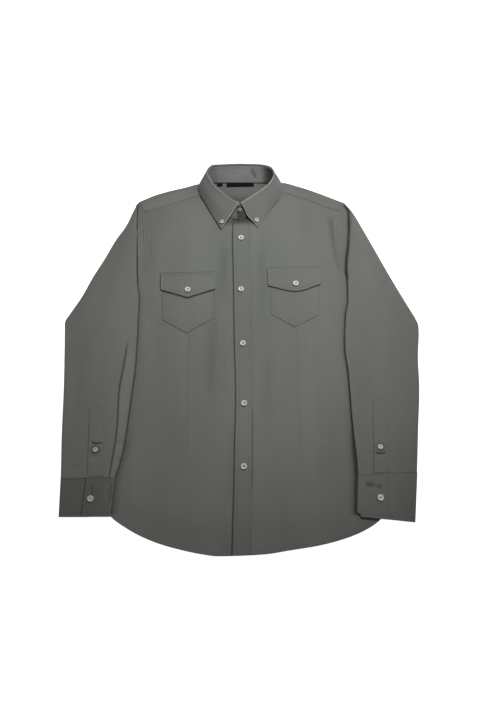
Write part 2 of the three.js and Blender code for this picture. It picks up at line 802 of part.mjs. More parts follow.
function sleeveTop(side, out, y) {
  const inner = side.sign * side.edgeAt(y);
  const outer = side.sign * side.outerAt(y);
  const t = clamp((out - inner) / (outer - inner));
  const closed = y <= side.closesAt;
  const atEdge = closed ? sleeveFloor(side, inner + TURN, y) + 2 * TURN : side.riseAt(y);
  const atFold = HALF + 2 * TURN;
  const pleat = side.pleatStep(y) * ease((out - inner - side.pleatOut(y) + 0.9) / 1.8) * (1 - ease(t));
  const swell = (closed ? 1.3 : 0.8) * Math.sin(Math.PI * t);
  return mix(atEdge, atFold, ease(t * 0.9 + 0.05)) + swell + pleat;
}

function sleeveRow(side, y, leanAt) {
  const inner = side.sign * side.edgeAt(y);
  const outer = side.sign * side.outerAt(y);
  const seam = side.sign * side.bodyAt(y) + mix(0.5, 0.9, ease((y - 285) / 20));
  const closed = y <= side.closesAt;
  const top = (out) => [out, sleeveTop(side, out, y)];
  const under = (out) => [out, closed ? sleeveFloor(side, out, y) : HALF];
  const fold = inner + side.pleatOut(y);
  const row = [];
  if (closed) {
    const low = sleeveFloor(side, inner + TURN, y);
    const high = low + 2 * TURN;
    row.push([inner, (low + high) / 2]);
    row.push([inner + TURN * 0.3, high - TURN * 0.3]);
    row.push([inner + TURN, high]);
    row.push(top(inner + 5));
  } else {
    const level = (out) => frontTop(side.sign * out, y) - HALF;
    const room = inner - seam;
    const step = Math.min(1.5, room * 0.3);
    row.push([seam, level(seam)]);
    row.push([mix(seam, inner, 0.5), level(mix(seam, inner, 0.5))]);
    row.push([inner - step, mix(level(inner), side.riseAt(y) - side.creaseAt(y), ease(room / 12))]);
    row.push([inner + Math.min(2.5, room * 0.4), side.riseAt(y)]);
  }
  const narrow = Math.min(1, (outer - inner) / 60);
  const foldOut = closed ? fold : inner + Math.min(14, (outer - inner) * 0.3);
  row.push(top(foldOut - 0.9 * narrow));
  row.push(top(foldOut + 0.9 * narrow));
  const last = outer - Math.min(7, (outer - foldOut) * 0.3);
  [0.2, 0.42, 0.64, 0.84].forEach((t) => row.push(top(mix(foldOut + 0.9 * narrow, last, t))));
  row.push(top(last));
  const high = HALF + 2 * TURN;
  row.push([outer - TURN, high]);
  row.push([outer - TURN * 0.3, high - TURN * 0.3]);
  row.push([outer, HALF + TURN]);
  row.push([outer - TURN * 0.3, HALF + TURN * 0.3]);
  row.push([outer - TURN, HALF]);
  if (closed) {
    const body = side.sign * side.bodyAt(y);
    const clear = body + 36;
    row.push(under(outer - 7));
    row.push(under(mix(outer - 7, clear, 0.5)));
    [clear, body + 27, body + 19, body + 11].forEach((out) => row.push(under(out)));
    row.push(under(mix(body + 11, inner + 5, 0.5)));
    row.push(under(inner + 5));
    row.push(under(inner + TURN));
    const low = sleeveFloor(side, inner + TURN, y);
    row.push([inner + TURN * 0.3, low + TURN * 0.3]);
    row.push([...row[0]]);
  } else {
    const from = outer - TURN;
    const count = 11;
    shares(count).slice(1).forEach((t) => row.push([mix(from, seam, t), HALF]));
  }
  const lean = leanAt(y);
  const middle = (inner + outer) / 2;
  return row.map(([out, z]) => [side.sign * out, y + lean * (out - middle), z]);
}

function sleeveRows(side) {
  const knots = side.armholeRows.map((r) => r.y).filter((y) => y < side.top - 4 && y > side.closesAt + 4);
  const steps = [side.top, ...knots, side.closesAt + 5];
  const above = steps.flatMap((y, i) => (i && steps[i - 1] - y > 22 ? [(steps[i - 1] + y) / 2, y] : [y]));
  const below = [side.closesAt, 118, 104, 88, 68, 44, 20, -8, -40, -80, -120, -160, -200, -236, side.end];
  return [...above, ...below];
}

const SLEEVE_END = { left: -265.2, right: -257 };

Object.entries(sides).forEach(([name, side]) => {
  side.end = SLEEVE_END[name];
  const leanAt = (y) => side.lean * ease((-120 - y) / 130);
  const rows = sleeveRows(side);
  const grid = rows.map((y) => sleeveRow(side, y, leanAt));
  const last = grid[0].length - 1;
  const same = (i, j) => (j === last && rows[i] <= side.closesAt ? 0 : j);
  add(`sleeve_${name}`, folded(grid, { same }));
});

// The pockets and their flaps, from the middle of each one.
const POCKETS = {
  left: {
    bag: [
      [-160.6, 143.0], [-160.0, 113.0], [-157.5, 47.9], [-107.3, 19.1], [-56.8, 51.4], [-54.6, 116.0], [-54.2, 146.0],
    ],
    flap: [[-164.1, 151.2], [-162.5, 113.2], [-107.9, 96.3], [-53.0, 116.1], [-53.6, 155.5]],
    button: [-108.3, 113.0],
    lift: 0,
  },
  right: {
    bag: [
      [56.6, 150.0], [57.5, 113.0], [59.5, 59.0], [105.8, 32.6], [154.8, 59.0], [158.6, 126.0], [159.6, 155.0],
    ],
    flap: [[52.0, 164.5], [54.0, 121.9], [109.1, 110.3], [160.0, 126.2], [161.8, 165.9]],
    button: [109.6, 127.0],
    lift: 1.6,
  },
};

const straight = (a, b, t) => [mix(a[0], b[0], t), mix(a[1], b[1], t)];
const pocketFloor = (sideName) => (sideName === "left" ? frontFloor : rightFrontFloor);

Object.entries(POCKETS).forEach(([name, { bag, flap, lift }]) => {
  const floor = pocketFloor(name);
  const onFront = (x, y) => floor(x, y) + LAYER + MARGIN;
  const down = shares(8);
  const across = shares(8);
  const bagGrid = patch(
    {
      left: stepped([bag[0], bag[1], straight(bag[1], bag[2], 0.5), bag[2]]).at,
      right: stepped([bag[6], bag[5], straight(bag[5], bag[4], 0.5), bag[4]]).at,
      top: stepped([bag[0], bag[6]]).at,
      bottom: stepped([bag[2], bag[3], bag[4]]).at,
    },
    down,
    across,
    onFront,
  );
  add(`pocket_${name}`, slab(bagGrid));
  const flapFloor = (x, y) => {
    const u = clamp((x - flap[0][0]) / (flap[4][0] - flap[0][0]));
    const drop = mix(flap[0][1], flap[4][1], u) - y;
    const tip = ease((drop - 14) / 40) * (lift + 0.3 * Math.sin(u * Math.PI));
    return onFront(x, y) + (LAYER + MARGIN) * ease((drop + 1) / 7) + tip;
  };
  const flapDown = [0, 0.06, 0.13, 0.22, 0.4, 0.6, 0.8, 1];
  const flapGrid = patch(
    {
      left: stepped([flap[0], flap[1]]).at,
      right: stepped([flap[4], flap[3]]).at,
      top: stepped([flap[0], flap[4]]).at,
      bottom: stepped([flap[1], flap[2], flap[3]]).at,
    },
    flapDown,
    across,
    flapFloor,
  );
  add(`flap_${name}`, slab(flapGrid, FLAP_WALL));
  POCKETS[name].buttonFloor = flapFloor(...POCKETS[name].button) + FLAP_WALL;
});

// The sleeve openings' strips, which lie on the sleeves' tops.
const GAUNTLETS = {
  left: { outer: [[-287.0, -137], [-281.0, -261.8]], inner: [[-260.6, -134], [-251.0, -262.2]], button: [-269.4, -213.8] },
  right: { outer: [[275.0, -119], [268.4, -254.2]], inner: [[248.0, -121], [240.6, -257.6]], button: [255.8, -208.3] },
};

Object.entries(GAUNTLETS).forEach(([name, { outer, inner, button }]) => {
  const side = sides[name];
  const peak = [(outer[0][0] + inner[0][0]) / 2, Math.max(outer[0][1], inner[0][1]) + 7];
  const floor = (x, y) => sleeveTop(side, side.sign * x, y) + HALF + GAP + MARGIN;
  const grid = shares(9).map((v) =>
    shares(2).map((u) => {
      const top = u === 0.5 ? peak : u === 0 ? outer[0] : inner[0];
      const [x, y] = straight(top, straight(outer[1], inner[1], u), v);
      return [x, y, floor(x, y)];
    }),
  );
  add(`gauntlet_${name}`, slab(grid));
  GAUNTLETS[name].buttonFloor = floor(...button) + WALL;
});

// The cuffs: a band from the lap's end round the inner fold, under, round the outer fold and back
// under the lap. The corners are its inner and outer ends at the top and at the bottom.
const CUFFS = {
  left: {
    inner: [[-230.9, -264.9], [-234.6, -334.1]],
    outer: [[-329.8, -266.4], [-327.1, -334.1]],
    lap: [-283.1, -287.0],
    button: [-271.8, -302.9],
  },
  right: {
    inner: [[211.8, -260.6], [205.6, -334.5]],
    outer: [[321.1, -254.4], [309.4, -343.3]],
    lap: [265.6, 262.8],
    button: [249.5, -301.1],
  },
};
const CUFF_UNDER = 22;

function cuffRow(name, v) {
  const side = sides[name];
  const cuff = CUFFS[name];
  const [innerX, innerY] = straight(cuff.inner[0], cuff.inner[1], v);
  const [outerX, outerY] = straight(cuff.outer[0], cuff.outer[1], v);
  const rounded = name === "right" ? 4 * ease((v - 0.86) / 0.14) : 0;
  const inner = side.sign * innerX + rounded;
  const outer = side.sign * outerX;
  const lap = side.sign * mix(cuff.lap[0], cuff.lap[1], v);
  const yAt = (out) => mix(innerY, outerY, (out - inner) / (outer - inner));
  const under = (out) => sleeveFloor(side, out, yAt(out));
  const low = under(inner + TURN);
  const foldHigh = HALF + 2 * TURN;
  const lower = (out) => {
    const t = clamp((outer - TURN - out) / (outer - lap));
    return Math.max(mix(foldHigh, low + LAYER + 0.3, ease(t)), under(out) + LAYER + MARGIN);
  };
  const upper = (out) => {
    const t = clamp((lap - out) / (lap - inner));
    return Math.max(lower(Math.max(out, lap - CUFF_UNDER)) + LAYER + MARGIN, low + 2 * TURN) + 0.5 * Math.sin(Math.PI * t);
  };
  const row = [];
  shares(5).forEach((t) => {
    const out = mix(lap, inner + TURN + 3, t);
    row.push([out, upper(out)]);
  });
  const high = Math.max(low + 2 * TURN, upper(inner + TURN + 3) - 0.3);
  row.push([inner + TURN, high]);
  row.push([inner + TURN * 0.3, mix(high, low, 0.15)]);
  row.push([inner, (low + high) / 2]);
  row.push([inner + TURN * 0.3, mix(high, low, 0.85)]);
  row.push([inner + TURN, low]);
  const body = side.sign * side.bodyAt(yAt(inner));
  const clear = Math.min(Math.max(body + 36, inner + 12), outer - 14);
  const places = [inner + 5, mix(inner + 5, clear, 0.3), mix(inner + 5, clear, 0.55), mix(inner + 5, clear, 0.78), clear];
  [...places, mix(clear, outer - 6, 0.5), outer - 6].forEach((out) => row.push([out, under(out)]));
  row.push([outer - TURN, HALF]);
  row.push([outer - TURN * 0.3, HALF + TURN * 0.3]);
  row.push([outer, HALF + TURN]);
  row.push([outer - TURN * 0.3, foldHigh - TURN * 0.3]);
  row.push([outer - TURN, foldHigh]);
  [0.15, 0.4, 0.7, 1].forEach((t) => {
    const out = mix(outer - TURN, lap - CUFF_UNDER, t);
    row.push([out, lower(out)]);
  });
  return row.map(([out, z]) => [side.sign * out, yAt(out), z]);
}

Object.entries(CUFFS).forEach(([name, cuff]) => {
  const grid = shares(6).map((v) => cuffRow(name, v));
  add(`cuff_${name}`, folded(grid));
  const share = (cuff.button[1] - cuff.inner[0][1]) / (cuff.inner[1][1] - cuff.inner[0][1]);
  const row = cuffRow(name, share);
  const heights = row.slice(0, 6);
  const out = Math.abs(cuff.button[0]);
  const k = Math.max(1, heights.findIndex((p) => Math.abs(p[0]) < out));
  const t = (out - Math.abs(heights[k - 1][0])) / (Math.abs(heights[k][0]) - Math.abs(heights[k - 1][0]));
  cuff.buttonFloor = mix(heights[k - 1][2], heights[k][2], t) + HALF;
});

// The collar: its stand, and the leaf that folds over it.
const standRows = [
  ...STAND_UNDER.map((s) => standRow(s, 0)),
  ...aroundNeck.map((s) => standRow(s)),
  ...STAND_OVER.map((s) => standRow(s, 0)),
];
add("collar_stand", folded(standRows, { shift: STAND_SHIFT }), COLOURS.collar);
const leafRows = [leafRow(LEAF_LEFT), ...aroundNeck.map(leafRow), leafRow(LEAF_RIGHT)];
add("collar_leaf", folded(leafRows), COLOURS.collar);

// Two bare labels, sewn inside the neck on the yoke.
const LABELS = {
  label_neck: { from: [-32.0, 366.0], to: [26.5, 356.8] },
  label_size: { from: [-52.6, 366.0], to: [-40.4, 358.8] },
};
Object.entries(LABELS).forEach(([name, { from, to }]) => {
  const grid = shares(2).map((v) =>
    shares(4).map((u) => {
      const [x, y] = [mix(from[0], to[0], u), mix(from[1], to[1], v)];
      return [x, y, neckLift(x, y) + LAYER];
    }),
  );
  add(name, slab(grid, 1), COLOURS.label);
});

// The buttons: a raised rim round a dished middle.
const BUTTON_SIDES = 14;

// The place and the slope of a grid's highest face over a point.
function surfaceAt(grid, x, y) {
  const { points, quads } = gridSheet(grid);
  const hit = new THREE.Vector3();
  const ray = new THREE.Ray(new THREE.Vector3(x, y, 100), new THREE.Vector3(0, 0, -1));
  let best = { z: -1, normal: new THREE.Vector3(0, 0, 1) };
  quads.forEach(([a, b, c, d]) => {
    [[a, b, c], [a, c, d]].forEach((ids) => {
      const corners = ids.map((id) => new THREE.Vector3(...points[id]));
      if (!ray.intersectTriangle(...corners, false, hit) || hit.z < best.z) return;
      const normal = new THREE.Triangle(...corners).getNormal(new THREE.Vector3());
      best = { z: hit.z, normal: normal.multiplyScalar(Math.sign(normal.z)) };
    });
  });
  return best;
}

function button(name, [x, y], floor, across, thick, normal = new THREE.Vector3(0, 0, 1)) {
  const r = across / 2;
  const profile = [
    [0, 0], [r - 0.5, 0], [r, 0.6], [r, thick - 0.5], [r - 0.6, thick], [r - 1.4, thick], [r - 2, thick - 0.6], [0, thick - 0.6],
  ];
  const lathe = new THREE.LatheGeometry(profile.map(([a, b]) => new THREE.Vector2(a, b)), BUTTON_SIDES);
  lathe.rotateX(Math.PI / 2);
  lathe.applyQuaternion(new THREE.Quaternion().setFromUnitVectors(new THREE.Vector3(0, 0, 1), normal));
  const foot = new THREE.Vector3(x, y, floor).addScaledVector(normal, GAP);
  lathe.translate(foot.x, foot.y, foot.z);
  add(name, lathe, COLOURS.button);
}

const BUTTON = { across: 11.4, thick: 2.4 };
const SMALL_BUTTON = { across: 9.2, thick: 2.1 };

FRONT_BUTTONS.forEach(({ x, y }, i) => {
  button(`button_front_${i + 1}`, [x, y], bandFloor(x, y) + BAND_WALL, BUTTON.across, BUTTON.thick);
});
Object.entries(sides).forEach(([name]) => {
  const size = [SMALL_BUTTON.across, SMALL_BUTTON.thick];
  button(`button_pocket_${name}`, POCKETS[name].button, POCKETS[name].buttonFloor + 0.35, BUTTON.across, BUTTON.thick);
  button(`button_gauntlet_${name}`, GAUNTLETS[name].button, GAUNTLETS[name].buttonFloor + 0.2, ...size);
  button(`button_cuff_${name}`, CUFFS[name].button, CUFFS[name].buttonFloor + 0.1, BUTTON.across, BUTTON.thick);
});

// The collar's own buttons: one at each leaf's tip and one on the stand, square to the cloth there.
const COLLAR_BUTTONS = {
  button_collar_left: { at: [-40.9, 268.4], rows: leafRows, shift: 0 },
  button_collar_right: { at: [31.9, 272.6], rows: leafRows, shift: 0 },
  button_stand: { at: [-3.4, 296.5], rows: standRows.slice(-3), shift: -STAND_SHIFT },
};
const COLLAR_BUTTON = { across: 8.8, thick: 2.0, room: 0.25 };
Object.entries(COLLAR_BUTTONS).forEach(([name, { at, rows, shift }]) => {
  const { z, normal } = surfaceAt(rows, ...at);
  const out = HALF + COLLAR_BUTTON.room - shift;
  const foot = new THREE.Vector3(at[0], at[1], z).addScaledVector(normal, out);
  button(name, [foot.x, foot.y], foot.z, COLLAR_BUTTON.across, COLLAR_BUTTON.thick, normal);
});

export default group;
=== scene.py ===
"""A long-sleeved button-down shirt, laid flat on a pale floor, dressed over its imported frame.

Lengths in the tables are millimetres on the part: +Z up, +Y towards the collar. "Left" and "right"
are as seen from above, with the collar away from the viewer. Meshes are made in metres.
"""

from __future__ import annotations

import json
import logging
import math
from dataclasses import dataclass, field
from enum import Enum
from typing import Callable, Iterable, Sequence

import bpy
import numpy as np
from mathutils import Matrix, Vector

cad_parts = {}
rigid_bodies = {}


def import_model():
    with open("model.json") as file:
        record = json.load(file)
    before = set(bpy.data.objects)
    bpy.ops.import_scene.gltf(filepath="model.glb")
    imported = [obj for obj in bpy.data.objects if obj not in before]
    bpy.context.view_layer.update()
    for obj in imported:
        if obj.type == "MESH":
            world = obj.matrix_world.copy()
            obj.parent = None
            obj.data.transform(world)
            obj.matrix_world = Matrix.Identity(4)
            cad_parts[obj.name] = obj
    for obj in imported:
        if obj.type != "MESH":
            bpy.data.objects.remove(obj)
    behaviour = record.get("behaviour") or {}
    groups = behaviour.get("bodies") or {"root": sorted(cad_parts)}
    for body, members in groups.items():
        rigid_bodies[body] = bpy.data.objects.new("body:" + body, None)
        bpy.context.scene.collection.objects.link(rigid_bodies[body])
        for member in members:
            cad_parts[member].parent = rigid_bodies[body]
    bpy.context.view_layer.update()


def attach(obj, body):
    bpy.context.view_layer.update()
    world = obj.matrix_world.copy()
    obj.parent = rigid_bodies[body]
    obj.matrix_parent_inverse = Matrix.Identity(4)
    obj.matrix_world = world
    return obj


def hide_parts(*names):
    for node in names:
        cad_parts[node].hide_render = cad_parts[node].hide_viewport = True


log = logging.getLogger("shirt")

Curve = Callable[[np.ndarray], np.ndarray]
Row = tuple[float, float]
Number = float | np.ndarray
Shape = tuple[np.ndarray, list]
Paint = tuple[float, ...] | bpy.types.NodeSocket

MM = 0.001
# One layer of the frame's cloth, the step from a layer to the next, and the radius of its folds.
WALL = 1.1
LAYER = 1.4
HALF = 0.55
TURN = 1.3
MARGIN = 0.15
# The cloth that shows: one layer, and a hem or a band of several.
CLOTH = 0.6
HEM_CLOTH = 1.0
# How near a line's end its other points may come.
STITCH_ROOM = 0.3
BODY = "root"


def mix(a: Number, b: Number, t: Number) -> Number:
    """The value at share t of the way from a to b."""
    return a + (b - a) * t


def ease(t: Number) -> Number:
    """A smooth step from 0 to 1 while t goes from 0 to 1."""
    c = np.clip(t, 0.0, 1.0)
    return c * c * c * (c * (6 * c - 15) + 10)


def bump(d: Number, width: Number) -> Number:
    """A soft bell of height 1 at d = 0."""
    return np.exp(-((d / width) ** 2))


def curve(knots: Sequence[float], values: Sequence[float]) -> Curve:
    """A smooth curve through a table's values that never overshoots them.

    Args:
        knots: places in rising order.
        values: the value at each place.

    Returns:
        A function of places, as an array.
    """
    k, v = np.asarray(knots, float), np.asarray(values, float)
    slope = np.diff(v) / np.diff(k)
    before, after = slope[:-1], slope[1:]
    same = before * after > 0
    inner = np.where(same, 2 * before * after / np.where(same, before + after, 1), 0)
    tangent = np.concatenate([slope[:1], inner, slope[-1:]])

    def at(x: Number) -> np.ndarray:
        """The value at a place."""
        x = np.asarray(x, float)
        i = np.clip(np.searchsorted(k, x, side="left") - 1, 0, len(k) - 2)
        span = k[i + 1] - k[i]
        t = (x - k[i]) / span
        rest = 1 - t
        inside = (
            v[i] * rest * rest * (1 + 2 * t)
            + tangent[i] * span * t * rest * rest
            + v[i + 1] * t * t * (3 - 2 * t)
            - tangent[i + 1] * span * t * t * rest
        )
        low = v[0] + tangent[0] * (x - k[0])
        high = v[-1] + tangent[-1] * (x - k[-1])
        return np.where(x <= k[0], low, np.where(x >= k[-1], high, inside))

    return at


def side_line(rows: Sequence[Row]) -> Curve:
    """A line read at a height y, from rows that go down the garment."""
    upward = rows[::-1]
    return curve([y for _, y in upward], [x for x, _ in upward])


def cross_line(rows: Sequence[Row]) -> Curve:
    """A line read at a place x, from rows that go from left to right."""
    return curve([x for x, _ in rows], [y for _, y in rows])


def seam_line(rows: Sequence[Row]) -> Curve:
    """A seam that two pieces share, straight between its rows, read at a height y.

    Args:
        rows: the table's rows.

    Returns:
        A function of y.
    """
    xs, ys = np.array([x for x, _ in rows]), np.array([y for _, y in rows])

    def at(y: Number) -> np.ndarray:
        """The seam at a height."""
        y = np.asarray(y, float)
        k = np.clip(np.searchsorted(-ys, -y, side="left") - 1, 0, len(ys) - 2)
        return mix(xs[k], xs[k + 1], (y - ys[k]) / (ys[k + 1] - ys[k]))

    return at


def stepped(points: Sequence[Row]) -> Curve:
    """A border whose points are the ends of equal shares.

    Args:
        points: the points in order.

    Returns:
        A function of shares.
    """
    p = np.asarray(points, float)

    def at(share: Number) -> np.ndarray:
        """The point at a share."""
        place = np.clip(share, 0, 1) * (len(p) - 1)
        return np.stack([np.interp(place, np.arange(len(p)), p[:, c]) for c in (0, 1)], -1)

    return at


def path(points: Sequence[Row]) -> Curve:
    """A smooth path through points, read by its share of the whole length.

    Args:
        points: the points in order.

    Returns:
        A function of shares.
    """
    p = np.asarray(points, float)
    lengths = np.concatenate([[0], np.cumsum(np.hypot(*np.diff(p, axis=0).T))])
    across, along = curve(lengths, p[:, 0]), curve(lengths, p[:, 1])

    def at(share: Number) -> np.ndarray:
        """The point at a share."""
        return np.stack([across(share * lengths[-1]), along(share * lengths[-1])], -1)

    return at


def joined(paths: Sequence[Curve], ends: Sequence[float]) -> Curve:
    """A border made of several paths, with the share at which each one ends.

    Args:
        paths: the parts in order.
        ends: the share at which each part ends.

    Returns:
        A function of shares.
    """

    def at(share: np.ndarray) -> np.ndarray:
        """The points at shares."""
        share = np.asarray(share, float)
        out = np.zeros(share.shape + (2,))
        start = 0.0
        for line, end in zip(paths, ends):
            part = (share > start + 1e-9) | (start == 0)
            out[part] = line(np.clip((share[part] - start) / (end - start), 0, 1))
            start = end
        return out

    return at


def patch(
    left: Curve, right: Curve, top: Curve, bottom: Curve, down: np.ndarray, across: np.ndarray
) -> np.ndarray:
    """The places of a patch between four borders, each read by a share.

    Args:
        left: the border that goes down at the start of each row.
        right: the border that goes down at the end of each row.
        top: the border that the first row follows.
        bottom: the border that the last row follows.
        down: shares of the rows.
        across: shares of the columns.

    Returns:
        Rows by columns by (x, y).
    """
    v, u = down[:, None, None], across[None, :, None]
    a, b, c, d = left(np.zeros(1)), right(np.zeros(1)), left(np.ones(1)), right(np.ones(1))
    down_ruled = mix(top(across)[None], bottom(across)[None], v)
    across_ruled = mix(left(down)[:, None], right(down)[:, None], u)
    return down_ruled + across_ruled - mix(mix(a, b, u), mix(c, d, u), v)


def spaced(length: float, step: float, fine: tuple[bool, bool] = (True, True)) -> np.ndarray:
    """Shares from 0 to 1 along a length, closer together near its ends, where seams and edges lie.

    Args:
        length: in millimetres.
        step: the largest distance between two places.
        fine: whether the start and the end are fine.

    Returns:
        Rising shares, with 0 and 1.
    """
    near = np.array([0, 0.45, 1.0, 1.6, 2.2, 2.9, 3.8, 4.8, 5.4, 6.0, 6.6, 7.4, 8.6, 10.2, 12.2])
    near = near[near < length * 0.42]
    start = near if fine[0] else near[:1]
    end = length - (near if fine[1] else near[:1])[::-1]
    count = max(2, math.ceil((end[0] - start[-1]) / step))
    middle = np.linspace(start[-1], end[0], count + 1)[1:-1]
    return np.concatenate([start, middle, end]) / length


def with_knots(shares: np.ndarray, knots: Sequence[float]) -> np.ndarray:
    """The same shares, with the nearest one moved to each knot, so that a corner stays sharp.

    Args:
        shares: rising shares.
        knots: the shares of the corners.

    Returns:
        The shares, as many as before.
    """
    out = shares.copy()
    for knot in knots:
        k = int(np.argmin(abs(out - knot)))
        if 0 < k < len(out) - 1:
            out[k] = knot
    return out


def chord(points: np.ndarray, counts: Sequence[int]) -> np.ndarray:
    """A finer row of points on the smooth curve through a row's points.

    Args:
        points: control points by (x, y, z).
        counts: into how many steps each span is cut.

    Returns:
        The finer points, which include the given ones.
    """
    gaps = np.maximum(np.linalg.norm(np.diff(points, axis=0), axis=1), 1e-6)
    lengths = np.concatenate([[0], np.cumsum(gaps)])
    places = [lengths[:1]]
    for k, n in enumerate(counts):
        places.append(np.linspace(lengths[k], lengths[k + 1], n + 1)[1:])
    at = np.concatenate(places)
    return np.stack([curve(lengths, points[:, c])(at) for c in range(3)], -1)


def steps_of(control: np.ndarray, size: float) -> list[int]:
    """How many steps of about a size each span of a control grid's rows needs."""
    spans = np.linalg.norm(np.diff(control, axis=1), axis=2).max(axis=0)
    return [max(1, math.ceil(s / size)) for s in spans]


def dense(control: np.ndarray, size: tuple[float, float]) -> np.ndarray:
    """A fine grid on the smooth surface through a coarse one.

    Args:
        control: rows by columns by (x, y, z).
        size: the largest step down the rows and along them.

    Returns:
        The fine grid.
    """
    counts = steps_of(control, size[1])
    rows = np.stack([chord(row, counts) for row in control])
    counts = steps_of(rows.transpose(1, 0, 2), size[0])
    return np.stack([chord(column, counts) for column in rows.transpose(1, 0, 2)], 1)


# The garment's outlines, each row a point on the line.
SHOULDER = (
    (-218.6, 320.8), (-184.9, 337.6), (-154.5, 348.3), (-121.3, 357.4), (-89.2, 366.0), (-71.0, 369.3),
    (66.0, 371.0), (86.5, 369.3), (123.3, 359.4), (163.6, 343.6), (203.6, 325.4), (219.9, 318.2),
)  # fmt: skip
HEM = (
    (-251.0, -311.0), (-234.2, -333.5), (-208.4, -351.7), (-180.8, -366.6), (-144.6, -380.7),
    (-108.9, -390.3),
    (-73.5, -397.6), (-41.8, -401.4), (-11.9, -400.9), (37.6, -398.5), (87.2, -391.2), (137.2, -383.2),
    (187.4, -370.0), (226.0, -353.5), (252.1, -334.0), (264.0, -315.0),
)  # fmt: skip
ARMHOLES = {
    "left": (
        (-218.6, 318.8), (-204.0, 299.0), (-194.5, 268.0), (-189.0, 240.7), (-185.1, 200.5),
        (-187.5, 170.3), (-198.5, 147.4), (-212.0, 131.0), (-229.0, 110.0), (-247.0, 88.6),
    ),
    "right": (
        (219.9, 316.2), (206.0, 302.0), (197.8, 289.0), (194.2, 260.0), (194.9, 222.0),
        (198.6, 181.9), (204.5, 156.1), (213.5, 139.0), (230.0, 113.0), (249.0, 88.6),
    ),
}  # fmt: skip
SIDE_SEAMS = {
    "left": ((-247.0, 88.6), (-241.0, -10.0), (-239.2, -97.0), (-243.5, -200.0), (-251.0, -311.0)),
    "right": ((249.0, 88.6), (241.5, -10.0), (239.0, -97.0), (247.5, -200.0), (264.0, -315.0)),
}
BAND_LEFT = (
    (-16.2, 290.7), (-17.5, 229.3), (-15.7, 140.5), (-12.9, -17.1), (-10.6, -88.9),
    (-10.5, -124.9), (-12.2, -192.8), (-13.3, -271.0), (-15.5, -358.0), (-16.6, -398.8),
)  # fmt: skip
BAND_RIGHT = ((13.6, 290.0), (14.4, 246.7), (17.5, 68.3), (18.7, -124.7), (18.0, -243.0), (15.3, -399.7))
BAND_TOP = 277.0
FRONT_BUTTONS = ((-0.8, 232.2), (-0.9, 114.3), (2.6, -2.8), (4.7, -124.4), (3.9, -244.3))
YOKE_FRONT = {
    "left": (
        (-204.0, 299.0), (-172.0, 310.6), (-147.0, 319.2), (-118.0, 328.9), (-95.4, 336.3), (-75.8, 343.5)
    ),
    "right": ((206.0, 302.0), (186.0, 307.0), (157.0, 319.5), (118.0, 335.4), (86.0, 344.9), (71.0, 346.5)),
}
YOKE_BACK = 230.0
NECK_BACK = 371.3
SIDE_TOP = 88.6


@dataclass(frozen=True)
class SleeveTable:
    """The measured lines of one sleeve.

    The pleat's rows are (y, distance from the edge, height of its fold), and the rise's are
    (y, height of the top layer beside the inner edge, depth of the crease there).
    """

    sign: int
    closes_at: float
    top: float
    end: float
    outer: tuple[Row, ...]
    edge: tuple[Row, ...]
    pleat: tuple[tuple[float, float, float], ...]
    rise: tuple[tuple[float, float, float], ...]
    lean: float


SLEEVES = {
    "left": SleeveTable(
        sign=-1, closes_at=131, top=313.5, end=-265.2,
        outer=(
            (-218.6, 318.8), (-222.8, 312.2), (-241.8, 262.9), (-261.1, 229.1), (-281.7, 184.2),
            (-302.3, 143.0),
            (-322.1, 97.1), (-342.1, 60.7), (-350.0, 44.0), (-348.6, 25.0), (-345.4, -15.2), (-339.7, -97.3),
            (-335.9, -175.9), (-329.9, -266.0), (-327.1, -334.1),
        ),
        edge=(
            (-220.8, 311.1), (-217.4, 228.8), (-213.4, 154.2), (-211.4, 131.0), (-205.4, 91.2),
            (-205.0, 56.1),
            (-204.5, 4.7), (-205.4, -53.7), (-208.5, -96.3), (-213.9, -165.1), (-217.1, -199.6),
            (-222.7, -234.6),
            (-230.5, -265.0),
        ),
        pleat=(
            (60, 14, 0), (12, 17, 0), (-19, 20, 1.1), (-54, 23, 1.4), (-90, 25, 1.4), (-166, 19, 1.4),
            (-235, 15.5, 1.2), (-265, 10.5, 0.8),
        ),
        rise=((319, 3.3, 0.2), (230, 4.4, 0.7), (175, 5.2, 1.4), (131, 6.2, 2.4)),
        lean=-0.015,
    ),
    "right": SleeveTable(
        sign=1, closes_at=139, top=311.0, end=-257.0,
        outer=(
            (219.9, 316.2), (234.0, 297.0), (253.0, 256.6), (274.4, 208.1), (295.0, 160.6), (318.6, 108.5),
            (339.8, 64.0), (345.4, 52.0), (350.0, 35.8), (342.8, -33.4), (340.2, -87.3), (331.2, -165.7),
            (321.6, -248.9),
            (313.3, -310.0), (309.0, -343.3),
        ),
        edge=(
            (219.6, 314.1), (227.0, 291.9), (223.0, 230.4), (214.6, 156.1), (214.7, 139.0), (213.6, 93.0),
            (206.8, 56.6), (201.7, -16.4), (205.4, -63.9), (207.5, -160.9), (211.6, -249.4), (210.9, -262.8),
        ),
        pleat=((60, 16, 0), (-265, 16, 0)),
        rise=((319, 3.4, 0.4), (285, 5.2, 1.6), (230, 5.8, 2.3), (139, 6.2, 2.6)),
        lean=0.056,
    ),
}  # fmt: skip


